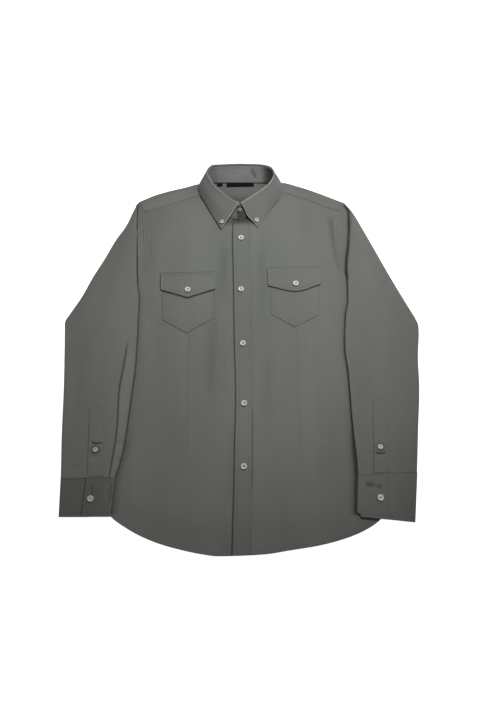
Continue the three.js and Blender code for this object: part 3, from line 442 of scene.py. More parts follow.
class Side:
    """One side of the garment: its sleeve's lines, and the body's own edge under the sleeve."""

    def __init__(self, name: str) -> None:
        """Reads the tables of the side called name."""
        self.name = name
        self.table = SLEEVES[name]
        self.sign = self.table.sign
        self.outer = side_line(self.table.outer)
        self.edge = side_line(self.table.edge)
        self.armhole = seam_line(ARMHOLES[name])
        self.side = side_line(SIDE_SEAMS[name])
        self.pleat_out, self.pleat_step = self._read(self.table.pleat)
        self.rise, self.crease = self._read(self.table.rise)

    @staticmethod
    def _read(rows: Sequence[tuple[float, float, float]]) -> tuple[Curve, Curve]:
        """Two curves of y from a table's second and third columns."""
        upward = rows[::-1]
        ys = [r[0] for r in upward]
        return curve(ys, [r[1] for r in upward]), curve(ys, [r[2] for r in upward])

    def body(self, y: Number) -> np.ndarray:
        """The body's own edge at a height y."""
        return np.where(y > SIDE_TOP, self.armhole(y), self.side(np.maximum(y, -322)))

    def lying_edge(self, y: Number) -> np.ndarray:
        """The inner edge of the sleeve, and below it of its cuff."""
        (start_x, start_y), (end_x, end_y) = CUFFS[self.name][0]
        share = np.clip((y - start_y) / (end_y - start_y), 0, 1)
        return np.where(y > start_y, self.edge(y), mix(start_x, end_x, share))


SIDES = {name: Side(name) for name in ("left", "right")}
shoulder_at = cross_line(SHOULDER)
hem_at = cross_line(HEM)
band_left_at = side_line(BAND_LEFT)
band_right_at = side_line(BAND_RIGHT)


@dataclass(frozen=True)
class Fold:
    """A soft ridge, or a trough where its height is negative, along a line of points.

    Args:
        points: the line, in (x, y).
        height: at its middle, in millimetres.
        left: its width to the left of the line, as one looks along it.
        right: its width to the right.
        ends: the share of the length over which it fades at each end.
    """

    points: tuple[Row, ...]
    height: float
    left: float
    right: float
    ends: float = 0.3

    def at(self, x: np.ndarray, y: np.ndarray) -> np.ndarray:
        """The fold's height over places x and y.

        Args:
            x: places from left to right.
            y: places up the garment.

        Returns:
            The height at each place.
        """
        p = np.asarray(self.points, float)
        spans = np.hypot(*np.diff(p, axis=0).T)
        starts = np.concatenate([[0], np.cumsum(spans)])
        nearest = np.full(np.broadcast(x, y).shape, 1e9)
        share = np.zeros_like(nearest)
        beside = np.zeros_like(nearest)
        for k, span in enumerate(spans):
            dx, dy = (p[k + 1] - p[k]) / span
            along = (x - p[k, 0]) * dx + (y - p[k, 1]) * dy
            held = np.clip(along, 0, span)
            across = (x - p[k, 0]) * dy - (y - p[k, 1]) * dx
            far = np.hypot(x - p[k, 0] - held * dx, y - p[k, 1] - held * dy)
            closer = far < nearest
            nearest = np.where(closer, far, nearest)
            share = np.where(closer, (starts[k] + held) / starts[-1], share)
            beside = np.where(closer, across, beside)
        width = np.where(beside > 0, self.right, self.left)
        fade = ease(np.minimum(share, 1 - share) / self.ends)
        return self.height * fade * bump(nearest, width)


def relief(folds: Iterable[Fold], x: np.ndarray, y: np.ndarray) -> np.ndarray:
    """The sum of several folds over places x and y.

    Args:
        folds: the folds to add up.
        x: places from left to right.
        y: places up the garment.

    Returns:
        The height at each place.
    """
    total = np.zeros(np.broadcast(x, y).shape)
    for fold in folds:
        total = total + fold.at(x, y)
    return total


# The soft folds of the fronts, seen as faint light and dark bands.
FRONT_FOLDS = (
    Fold(((-40, 262), (-39, 178), (-55, 92), (-58, -8), (-60, -150)), -0.75, 9, 11, 0.25),
    Fold(((-26, 250), (-28, 130), (-30, 10), (-30, -120)), 0.45, 7, 7),
    Fold(((-88, 160), (-84, 0), (-82, -157)), 0.55, 14, 12),
    Fold(((-22, -150), (-23, -240), (-24, -330)), -0.5, 7, 8),
    Fold(((-179, 275), (-171, 148), (-179, 40)), 0.75, 9, 12),
    Fold(((-196, 92), (-186, -30), (-190, -150)), 0.6, 10, 14),
    Fold(((-196, -210), (-202, -290), (-196, -340)), 0.7, 14, 16),
    Fold(((-140, -210), (-134, -290), (-128, -372)), 0.4, 18, 20),
    Fold(((50, -10), (49, -90), (48, -180)), -0.55, 12, 12),
    Fold(((152, 20), (149, -80), (146, -200)), -0.5, 14, 13),
    Fold(((188, 20), (180, -120), (172, -280)), 0.65, 14, 12),
    Fold(((74, -140), (78, -250), (80, -360)), 0.4, 16, 18),
    Fold(((176, 280), (177, 220), (176, 150)), 0.6, 8, 8),
    Fold(((188, 296), (189, 232), (196, 168), (203, 120)), -0.5, 8, 8, 0.2),
    Fold(((42, 262), (38, 160), (44, 60)), -0.4, 9, 9),
    Fold(((120, 250), (150, 215), (182, 196)), 0.3, 12, 12),
    Fold(((-120, 262), (-152, 232), (-180, 208)), 0.3, 12, 12),
    Fold(((-183, 286), (-187, 240), (-182, 196), (-184, 176)), 0.35, 3, 3, 0.2),
)
# Painted shade on the fronts, where they are darker: along the right armhole, beside the pocket flaps and the
# band, and in soft bands.
FRONT_SHADES = {
    "left": (
        Fold(((-165.3, 152.5), (-163.6, 113.5)), 0.55, 2.2, 2.2, 0.08),
        Fold(((-30, 235), (-33, 150), (-32, 60)), 0.10, 9, 12),
        Fold(((-62, 90), (-62, -20), (-58, -130)), 0.11, 12, 16),
    ),
    "right": (
        Fold(((186, 296), (190, 262), (196, 205), (206, 148)), 0.24, 7, 8, 0.2),
        Fold(((50.9, 166), (52.7, 122)), 0.16, 1.0, 1.0, 0.08),
        Fold(((44, 240), (40, 150), (44, 40)), 0.10, 9, 9),
        Fold(((48, -20), (49, -90), (48, -190)), 0.04, 12, 12),
        Fold(((19.4, -118), (19.4, -200), (18.6, -300)), 0.5, 1.6, 3.0, 0.2),
    ),
}
# The stitched darts below the pockets.
DARTS = {
    "left": ((-104.8, 20.5), (-104.3, -78.1), (-102.2, -203), (-103.6, -246.5)),
    "right": ((107.1, 34), (107, -16.4), (106.9, -98.3), (108.3, -176.7), (106, -252.8)),
}


def dart_relief(x: np.ndarray, y: np.ndarray) -> np.ndarray:
    """The groove of each dart's seam, and the ridge of the cloth folded under beside it.

    Args:
        x: places from left to right.
        y: places up the garment.

    Returns:
        The height at each place.
    """
    total = np.zeros(np.broadcast(x, y).shape)
    for line in DARTS.values():
        away = x - side_line(line)(y)
        top, end = line[0][1], line[-1][1]
        there = ease((top + 3 - y) / 10) * ease((y - end) / 40)
        total = total + there * (
            0.34 * bump(away - 3.8, 3.2) - 0.26 * bump(away, 1.2) - 0.16 * bump(away + 6, 6)
        )
    return total


def neck_lift(x: Number, y: Number) -> Number:
    """How far the yoke is lifted by the collar's leaf, which lies under it."""
    return 1.7 * ease((y - 322) / 24) * ease((118 - abs(x + 3)) / 25)


def front_floor(x: Number, y: Number) -> Number:
    """The underside of the fronts' wall in the frame, with the folds that the cloth has here.

    Args:
        x: places from left to right.
        y: places up the garment.

    Returns:
        The height at each place.
    """
    inside = ease((x - SIDES["left"].edge(y)) / 80) * ease((SIDES["right"].edge(y) - x) / 80)
    inside = inside * ease((y - hem_at(x)) / 70)
    below = shoulder_at(x) - y
    inside = inside * ease(below / 70)
    waves = np.sin(x / 24 + y / 260) + 0.8 * np.sin(x / 37 - y / 170 + 1.3)
    lie = LAYER + inside * (2.3 + 0.45 * waves) + 1.2 * (1 - ease(below / 45)) + neck_lift(x, y)
    return lie + 1.25 * relief(FRONT_FOLDS, x, y) + dart_relief(x, y)


def under_collar(x: Number, y: Number) -> Number:
    """How deep in the shadow between the collar's points a place of the front is, from 0 to 1."""
    return ease((y - 256) / 19) * (1 - ease((abs(x + 4) - 30) / 10))


def right_front_floor(x: Number, y: Number) -> Number:
    """The same for the right front, which climbs to lie beside the button band."""
    return front_floor(x, y) + LAYER * ease((band_right_at(y) + 34 - x) / 30)


class Thread(Enum):
    """The kinds of sewing: a plain topstitch, and the close stitches round a buttonhole."""

    TOPSTITCH = "topstitch"
    BUTTONHOLE = "buttonhole"


@dataclass
class Sheet:
    """Cloth as a grid of points on its middle, with a thickness at each point.

    Args:
        grid: rows by columns by (x, y, z), in millimetres.
        thick: rows by columns.
        keep: rows - 1 by columns - 1, true where there is cloth, or None for everywhere.
        closed: for each row, whether its last point is its first one, or None for no row.
        wear_and_shading: rows by columns: above 0, how much lighter a place is painted, for wear and as
            painted highlights on edges and folds; below 0, how much painted shade darkens it in creases,
            recesses and cast shadows.
    """

    grid: np.ndarray
    thick: np.ndarray | float
    keep: np.ndarray | None = None
    closed: np.ndarray | None = None
    wear_and_shading: np.ndarray | None = None

    def __post_init__(self) -> None:
        """Fills in what was left out."""
        shape = self.grid.shape[:2]
        self.thick = np.broadcast_to(np.asarray(self.thick, float), shape).copy()
        if self.keep is None:
            self.keep = np.ones((shape[0] - 1, shape[1] - 1), bool)
        if self.wear_and_shading is None:
            self.wear_and_shading = np.zeros(shape)

    def turned(self) -> Sheet:
        """The same cloth with its columns the other way round, so that its faces turn over."""
        closed = self.closed
        return Sheet(self.grid[:, ::-1], self.thick[:, ::-1], self.keep[:, ::-1], closed, self.wear_and_shading[:, ::-1])

    def facing_up(self) -> Sheet:
        """The same cloth, with the faces of its first kept cells upwards."""
        rows, columns = self.grid.shape[:2]
        return self if self.normals()[rows // 3, columns // 3, 2] > 0 else self.turned()

    def ids(self) -> np.ndarray:
        """The number of each point, with a closed row's last point the same as its first."""
        rows, columns = self.grid.shape[:2]
        ids = np.arange(rows * columns).reshape(rows, columns)
        if self.closed is not None:
            ids[:, -1] = np.where(self.closed, ids[:, 0], ids[:, -1])
        return ids

    def quads(self) -> np.ndarray:
        """The kept cells as four point numbers each, facing along the normals."""
        ids = self.ids()
        cells = np.stack([ids[:-1, :-1], ids[1:, :-1], ids[1:, 1:], ids[:-1, 1:]], -1)
        return cells[self.keep]

    def normals(self) -> np.ndarray:
        """The unit normal at each point."""
        flat = self.grid.reshape(-1, 3)
        quads = self.quads()
        across = np.cross(flat[quads[:, 2]] - flat[quads[:, 0]], flat[quads[:, 3]] - flat[quads[:, 1]])
        across /= np.maximum(np.linalg.norm(across, axis=1, keepdims=True), 1e-9)
        total = np.zeros_like(flat)
        for k in range(4):
            np.add.at(total, quads[:, k], across)
        total /= np.maximum(np.linalg.norm(total, axis=1, keepdims=True), 1e-9)
        return total[self.ids().ravel()].reshape(self.grid.shape)

    def raised(self, amount: np.ndarray) -> None:
        """Moves each point along its normal by an amount in millimetres."""
        self.grid = self.grid + self.normals() * amount[..., None]

    @property
    def x(self) -> np.ndarray:
        """Each point's place from left to right."""
        return self.grid[..., 0]

    @property
    def y(self) -> np.ndarray:
        """Each point's place up the garment."""
        return self.grid[..., 1]

    def outside(self, clear: float = 0.0) -> np.ndarray:
        """The grid of the outer face, or a little above it."""
        return self.grid + self.normals() * (self.thick / 2 + clear)[..., None]

    def from_border(self, border: str) -> np.ndarray:
        """Each point's distance along its grid line from first_row, last_row, first_column or last_column.

        Args:
            border: the border's name.

        Returns:
            Rows by columns.
        """
        axis = 0 if border.endswith("row") else 1
        steps = np.linalg.norm(np.diff(self.grid, axis=axis), axis=2)
        pad = [(1, 0), (0, 0)] if axis == 0 else [(0, 0), (1, 0)]
        far = np.pad(np.cumsum(steps, axis=axis), pad)
        if border.startswith("first"):
            return far
        last = far[-1:, :] if axis == 0 else far[:, -1:]
        return last - far

    def line(self, border: str, inset: float, trim: Row = (0, 0), clear: float = 0.05) -> np.ndarray:
        """A line on the outer face, at a distance from one border.

        Args:
            border: as in from_border.
            inset: the distance from it.
            trim: the distances that the line keeps from its two ends.
            clear: the height above the face.

        Returns:
            Points by (x, y, z).
        """
        face, far = self.outside(clear), self.from_border(border)
        if border.endswith("column"):
            face, far = face.transpose(1, 0, 2), far.T
        lines = []
        for k in range(face.shape[1]):
            order = np.argsort(far[:, k])
            lines.append([np.interp(inset, far[order, k], face[order, k, c]) for c in range(3)])
        points = np.array(lines)
        spans = np.linalg.norm(np.diff(points, axis=0), axis=1)
        along = np.concatenate([[0], np.cumsum(spans)])
        start, end = trim[0], along[-1] - trim[1]
        first, last = ([[np.interp(at, along, points[:, c]) for c in range(3)]] for at in (start, end))
        inner = points[(along > start + STITCH_ROOM) & (along < end - STITCH_ROOM)]
        return np.concatenate([first, inner, last])

    def nearest(self, *borders: str) -> np.ndarray:
        """Each point's distance from the nearest of some borders."""
        return np.minimum.reduce([self.from_border(border) for border in borders])

    def grooved(self, border: str, inset: float, depth: float, width: float = 0.9) -> None:
        """Presses a line of stitching into the cloth, at a distance from a border."""
        self.raised(-depth * bump(self.from_border(border) - inset, width))


def laid(x: np.ndarray, y: np.ndarray, z: np.ndarray, thick: float) -> Sheet:
    """Cloth through places and heights, with its outer face upwards."""
    return Sheet(np.dstack([x, y, z]), thick).facing_up()


def linked(name: str, points: Sequence, edges: Sequence, faces: Sequence) -> bpy.types.Object:
    """A new object in the scene, with a mesh of its own.

    Args:
        name: the piece's name.
        points: the points in order.
        edges: its edges, if it has no faces.
        faces: its faces.

    Returns:
        The object.
    """
    mesh = bpy.data.meshes.new(name)
    mesh.from_pydata(points, edges, faces)
    obj = bpy.data.objects.new(name, mesh)
    bpy.context.scene.collection.objects.link(obj)
    return obj


def baked(obj: bpy.types.Object) -> bpy.types.Mesh:
    """The plain mesh that an object's modifiers give, in place of the object."""
    bpy.context.view_layer.update()
    made = bpy.data.meshes.new_from_object(obj.evaluated_get(bpy.context.evaluated_depsgraph_get()))
    bpy.data.objects.remove(obj)
    return made


def taken_apart(mesh: bpy.types.Mesh) -> Shape:
    """The points and faces of a mesh, which is then removed.

    Args:
        mesh: the mesh.

    Returns:
        Points and faces.
    """
    co = np.zeros(len(mesh.vertices) * 3)
    mesh.vertices.foreach_get("co", co)
    faces = [list(p.vertices) for p in mesh.polygons]
    bpy.data.meshes.remove(mesh)
    return co.reshape(-1, 3), faces


def merged(shapes: Sequence[Shape]) -> Shape:
    """Several shapes as one.

    Args:
        shapes: points and faces of each one.

    Returns:
        Points and faces.
    """
    starts = np.cumsum([0, *[len(points) for points, _ in shapes]])
    faces = [
        [int(v + start) for v in dict.fromkeys(f)] for (_, some), start in zip(shapes, starts) for f in some
    ]
    return np.concatenate([points for points, _ in shapes]), faces


@dataclass
class Shop:
    """Where pieces are finished.

    Args:
        finishes: the materials by name.
        stitches: the lines kept for the next piece of stitching.
    """

    finishes: dict[str, bpy.types.Material] = field(default_factory=dict)
    stitches: list[tuple[Thread, np.ndarray]] = field(default_factory=list)

    def mesh_object(self, name: str, points: np.ndarray, faces: Sequence, finish: str) -> bpy.types.Object:
        """A smooth-shaded object in metres, at the origin.

        Args:
            name: its name.
            points: in millimetres.
            faces: point numbers of each face.
            finish: which finish it gets.

        Returns:
            The linked object.
        """
        obj = linked(name, (np.asarray(points) * MM).tolist(), [], [list(map(int, f)) for f in faces])
        obj.data.materials.append(self.finishes[finish])
        obj.data.shade_smooth()
        obj.data.validate()
        return obj

    def cloth(self, name: str, sheet: Sheet, finish: str) -> bpy.types.Object:
        """A closed thin shell with round edges from a sheet.

        Args:
            name: the piece's name.
            sheet: its middle and thickness.
            finish: which finish it gets.

        Returns:
            The linked object, with a "cloth" UV map in metres and a "worn" attribute, which holds wear and
            painted light and shade.
        """
        quads, flat = sheet.quads(), sheet.grid.reshape(-1, 3)
        normals = sheet.normals().reshape(-1, 3)
        half = sheet.thick.ravel()[:, None] / 2
        edges = np.concatenate([quads[:, [k, (k + 1) % 4]] for k in range(4)])
        number = len(flat)
        forward = edges[:, 0].astype(np.int64) * number + edges[:, 1]
        backward = edges[:, 1].astype(np.int64) * number + edges[:, 0]
        rim = edges[~np.isin(forward, backward)]
        outward = np.zeros_like(flat)
        along = flat[rim[:, 1]] - flat[rim[:, 0]]
        side = np.cross(along, normals[rim[:, 0]])
        side /= np.maximum(np.linalg.norm(side, axis=1, keepdims=True), 1e-9)
        np.add.at(outward, rim[:, 0], side)
        np.add.at(outward, rim[:, 1], side)
        outward /= np.maximum(np.linalg.norm(outward, axis=1, keepdims=True), 1e-9)
        points = np.concatenate([flat + normals * half, flat - normals * half, flat + outward * half * 0.8])
        a, b = rim[:, 0], rim[:, 1]
        faces = np.concatenate([
            quads,
            quads[:, ::-1] + number,
            np.stack([a, a + 2 * number, b + 2 * number, b], -1),
            np.stack([a + 2 * number, a + number, b + number, b + 2 * number], -1),
        ])  # fmt: skip
        used = np.unique(faces)
        renumber = np.full(len(points), -1)
        renumber[used] = np.arange(len(used))
        obj = self.mesh_object(name, points[used], renumber[faces], finish)
        uv = np.stack([sheet.from_border("first_column"), self._down(sheet)], -1).reshape(-1, 2) * MM
        self._attributes(obj.data, np.tile(uv, (3, 1))[used], np.tile(sheet.wear_and_shading.ravel(), 3)[used])
        return obj

    @staticmethod
    def _down(sheet: Sheet) -> np.ndarray:
        """Distances down the middle column, the same along each row."""
        far = sheet.from_border("first_row")
        return np.broadcast_to(far[:, far.shape[1] // 2][:, None], far.shape)

    @staticmethod
    def _attributes(mesh: bpy.types.Mesh, uv: np.ndarray, wear_and_shading: np.ndarray) -> None:
        """Writes the UV map and the worn attribute, of wear and painted light and shade, of a mesh from
        values at its points.
        """
        loops = np.zeros(len(mesh.loops), np.int32)
        mesh.loops.foreach_get("vertex_index", loops)
        layer = mesh.uv_layers.new(name="cloth")
        layer.data.foreach_set("uv", uv[loops].astype(np.float32).ravel())
        attribute = mesh.attributes.new("wear_and_shading", "FLOAT", "POINT")
        attribute.data.foreach_set("value", wear_and_shading.astype(np.float32))

    def sew(self, line: np.ndarray, kind: Thread = Thread.TOPSTITCH) -> None:
        """Keeps a line of stitching for the stitch maker, clear of the floor."""
        self.stitches.append((kind, np.maximum(line, [-np.inf, -np.inf, 0.5])))

    def sew_piece(self, name: str) -> None:
        """Makes one piece of all the lines kept so far, and forgets them.

        Args:
            name: the piece's name.
        """
        shapes = []
        for kind in Thread:
            lines = [line for k, line in self.stitches if k is kind]
            if lines:
                points, faces = taken_apart(stitched(name, lines, kind, self.finishes["thread"]))
                shapes.append((points / MM, faces))
        obj = self.mesh_object(name, *merged(shapes), "thread")
        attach(obj, BODY)
        log.info("%s: %d stitches' faces", name, len(obj.data.polygons))
        self.stitches.clear()

    def wear(self, obj: bpy.types.Object, *nodes: str, slot: str = "cloth") -> None:
        """Lets a piece ride on the part and stand for its nodes.

        Args:
            obj: the piece.
            nodes: the frame's nodes that it stands for.
            slot: not used.
        """
        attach(obj, BODY)
        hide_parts(*nodes)
        log.info("%s: %d faces", obj.name, len(obj.data.polygons))


@dataclass(frozen=True)
class Station:
    """One line up the collar: where its stand is sewn on, its top fold, and the leaf's turn and edge."""

    seam: tuple[float, float, float]
    fold: tuple[float, float, float]
    bend: tuple[float, float, float]
    edge: tuple[float, float, float]
    fold_move: Row = (0, 0)
    edge_move: Row = (0, 0)
    bend_move: Row | None = None


# From the middle of the front round to the middle of the back. The right half mirrors the left
# about the collar's middle, but for the moves.
COLLAR_MIDDLE = -3.0
COLLAR = (
    Station((-24, 283, 7), (-24.6, 319.4, 20), (-39.5, 297.5, 16), (-53.6, 273.8, 8), (0.5, 4), (-2.5, 1.2)),
    Station((-42, 294, 6.5), (-38.8, 330.4, 22), (-53, 313, 17), (-65.1, 294.5, 8), (5.6, 6), (0.5, 4.9)),
    Station((-58, 309, 6), (-54.5, 344.7, 25), (-67.5, 331, 18.5), (-76.9, 316.7, 8), (5.8, 4), (6.5, 5.5)),
    Station((-68, 325, 6), (-65.2, 359.8, 27), (-79, 349.5, 19), (-88.9, 339, 8), (5.6, 2), (2.1, -1)),
    Station(
        (-72.5, 345, 6.5), (-73.5, 375.2, 29), (-84, 364.5, 20), (-93.2, 353.9, 8), (1.9, 0), (-0.7, 0),
        (0.6, 0)
    ),
    Station(
        (-71.5, 352, 6.5), (-74, 379.5, 29.3), (-82, 371.5, 18), (-90, 364.2, 7.2), (0.5, 0), (0.8, 3),
        (1.5, 1.5)
    ),
    Station(
        (-69.5, 359, 6), (-73.2, 382.6, 29.5), (-80.8, 377, 16), (-88, 371, 4.2), (1.1, -0.9), (0.6, 3),
        (0.8, 1.5)
    ),
    Station(
        (-66.5, 364, 5.2), (-72, 385.6, 29.3), (-81.5, 376.5, 6), (-86, 372, 1), (1.3, -1.3), (0.2, 3),
        (0.4, 1)
    ),
    Station(
        (-63, 368, 4.2), (-70.4, 388.6, 29), (-80, 376, 0.85), (-82, 364.5, 0.78), (0.9, -0.6), (0, 0),
        (-0.2, -1)
    ),
    Station(
        (-56, 370, 3.6), (-60.3, 397.0, 28), (-66, 373.5, 0.85), (-68, 358, 0.78), (3.7, -2.7), (0, 0),
        (0.5, -0.5)
    ),
    Station((-38, 370, 3.4), (-38.2, 398.8, 27), (-42, 373.5, 0.85), (-43, 357, 0.78), (4, 0.5)),
    Station((-20, 370, 3.4), (-20, 400.5, 26.3), (-21, 373.5, 0.85), (-22, 357, 0.78)),
)
COLLAR_BACK = Station((-3, 370, 3.4), (-2.7, 401.2, 26), (-3, 373.5, 0.85), (-3, 357, 0.78))
# The leaf's two front ends, and the stand's two ends, which lap at the middle of the front.
LEAF_LEFT = Station((0, 0, 0), (-5.8, 309.3, 19), (-21, 284.5, 14.5), (-41.8, 252.6, 8))
LEAF_RIGHT = Station((0, 0, 0), (-0.6, 309.8, 18.6), (13, 281, 12.6), (34.4, 257.4, 7.6))
STAND_UNDER = (((9, 277, 7), (8, 301, 10.8)), ((-6, 274.8, 6.4), (-6, 304.5, 12.2)))
STAND_OVER = (
    ((3, 274.6, 8.8), (2.5, 306, 15.2)),
    ((-7, 274.6, 8.6), (-6.5, 303.5, 14.2)),
    ((-15.4, 277.2, 8.8), (-14.4, 297, 12.6)),
)
STAND_SHORT = 1.9
STAND_SUNK = 0.45
STAND_SHIFT = -1.7
NECK_ROOM = 2.0
NECK_MIDDLE = (-3.0, 325.0)


def mirrored(point: tuple[float, float, float], move: Row = (0, 0)) -> tuple[float, float, float]:
    """A point of the collar's left half, on its right half."""
    return (2 * COLLAR_MIDDLE - point[0] + move[0], point[1] + move[1], point[2])


def right_station(station: Station) -> Station:
    """The right half's station across from a left one.

    Args:
        station: the left half's station.

    Returns:
        The station.
    """
    turn = station.bend_move or tuple(mix(a, b, 0.5) for a, b in zip(station.fold_move, station.edge_move))
    return Station(
        mirrored(station.seam),
        mirrored(station.fold, station.fold_move),
        mirrored(station.bend, turn),
        mirrored(station.edge, station.edge_move),
    )


AROUND_NECK = (*COLLAR, COLLAR_BACK, *[right_station(s) for s in reversed(COLLAR)])


def neck_edge(point: Sequence[float]) -> Row:
    """A point of the fronts' neck edge, a little way out from the stand's seam.

    Args:
        point: a point of the neck.

    Returns:
        The point, in (x, y).
    """
    dx, dy = point[0] - NECK_MIDDLE[0], point[1] - NECK_MIDDLE[1]
    far = math.hypot(dx, dy)
    return point[0] + dx / far * NECK_ROOM, point[1] + dy / far * NECK_ROOM


def armhole_border(side: Side, start: float, share: float, out: float) -> Curve:
    """The border of a body panel: its armhole from a height down, and then its side seam.

    Args:
        side: which side.
        start: the height at which it starts.
        share: the share of the border that the armhole takes.
        out: how far the border is moved away from the garment's middle.

    Returns:
        The border, read by its share.
    """
    move = side.sign * out
    below = [(x + move, y) for x, y in ARMHOLES[side.name] if y < start - 6]
    first = (float(side.body(np.float64(start))) + move, start)
    return joined(
        [stepped([first, *below]), path([(x + move, y) for x, y in SIDE_SEAMS[side.name]])], [share, 1]
    )


def hem_between(start: float, end: float) -> Curve:
    """The hem from one place x to another.

    Args:
        start: the first place x.
        end: the last place x.

    Returns:
        The border, read by its share.
    """
    low, high = min(start, end), max(start, end)
    inside = [p for p in HEM if low + 4 < p[0] < high - 4]
    points = [(low, float(hem_at(low))), *inside, (high, float(hem_at(high)))]
    return path(points if start < end else points[::-1])


def beside_dart(places: Callable[[np.ndarray], np.ndarray], across: np.ndarray, side: str) -> np.ndarray:
    """A panel's places, with one column moved onto the dart's line and finer columns beside it.

    Args:
        places: makes the panel's places from shares across.
        across: the shares.
        side: which dart.

    Returns:
        Rows by columns by (x, y).
    """
    line = DARTS[side]
    at = side_line(line)
    top, end = line[0][1], line[-1][1]
    grid = places(across)
    rows = (grid[:, 0, 1] < top) & (grid[:, 0, 1] > end)
    column = int(np.argmin(abs(grid[rows][..., 0] - at(grid[rows][..., 1])).mean(axis=0)))
    middle = across[column]
    width = abs(grid[rows][:, -1, 0] - grid[rows][:, 0, 0]).mean()
    fine = middle + np.array([-7, -5.2, -3.6, -2.3, -1.3, -0.6, 0, 0.6, 1.3, 2.3, 3.6, 5.2, 7]) / width
    kept = across[(across < fine[0] - 1 / width) | (across > fine[-1] + 1 / width)]
    across = np.sort(np.concatenate([kept, fine]))
    grid = places(across)
    column = int(np.argmin(abs(across - middle)))
    y = grid[:, column, 1]
    gap = at(np.clip(y, end, top)) - grid[:, column, 0]
    gap = gap * ease((top + 90 - y) / 80) * ease((y - end + 60) / 60)
    grid[..., 0] += gap[:, None] * (1 - ease(abs(across - middle)[None] / 0.24))
    return grid


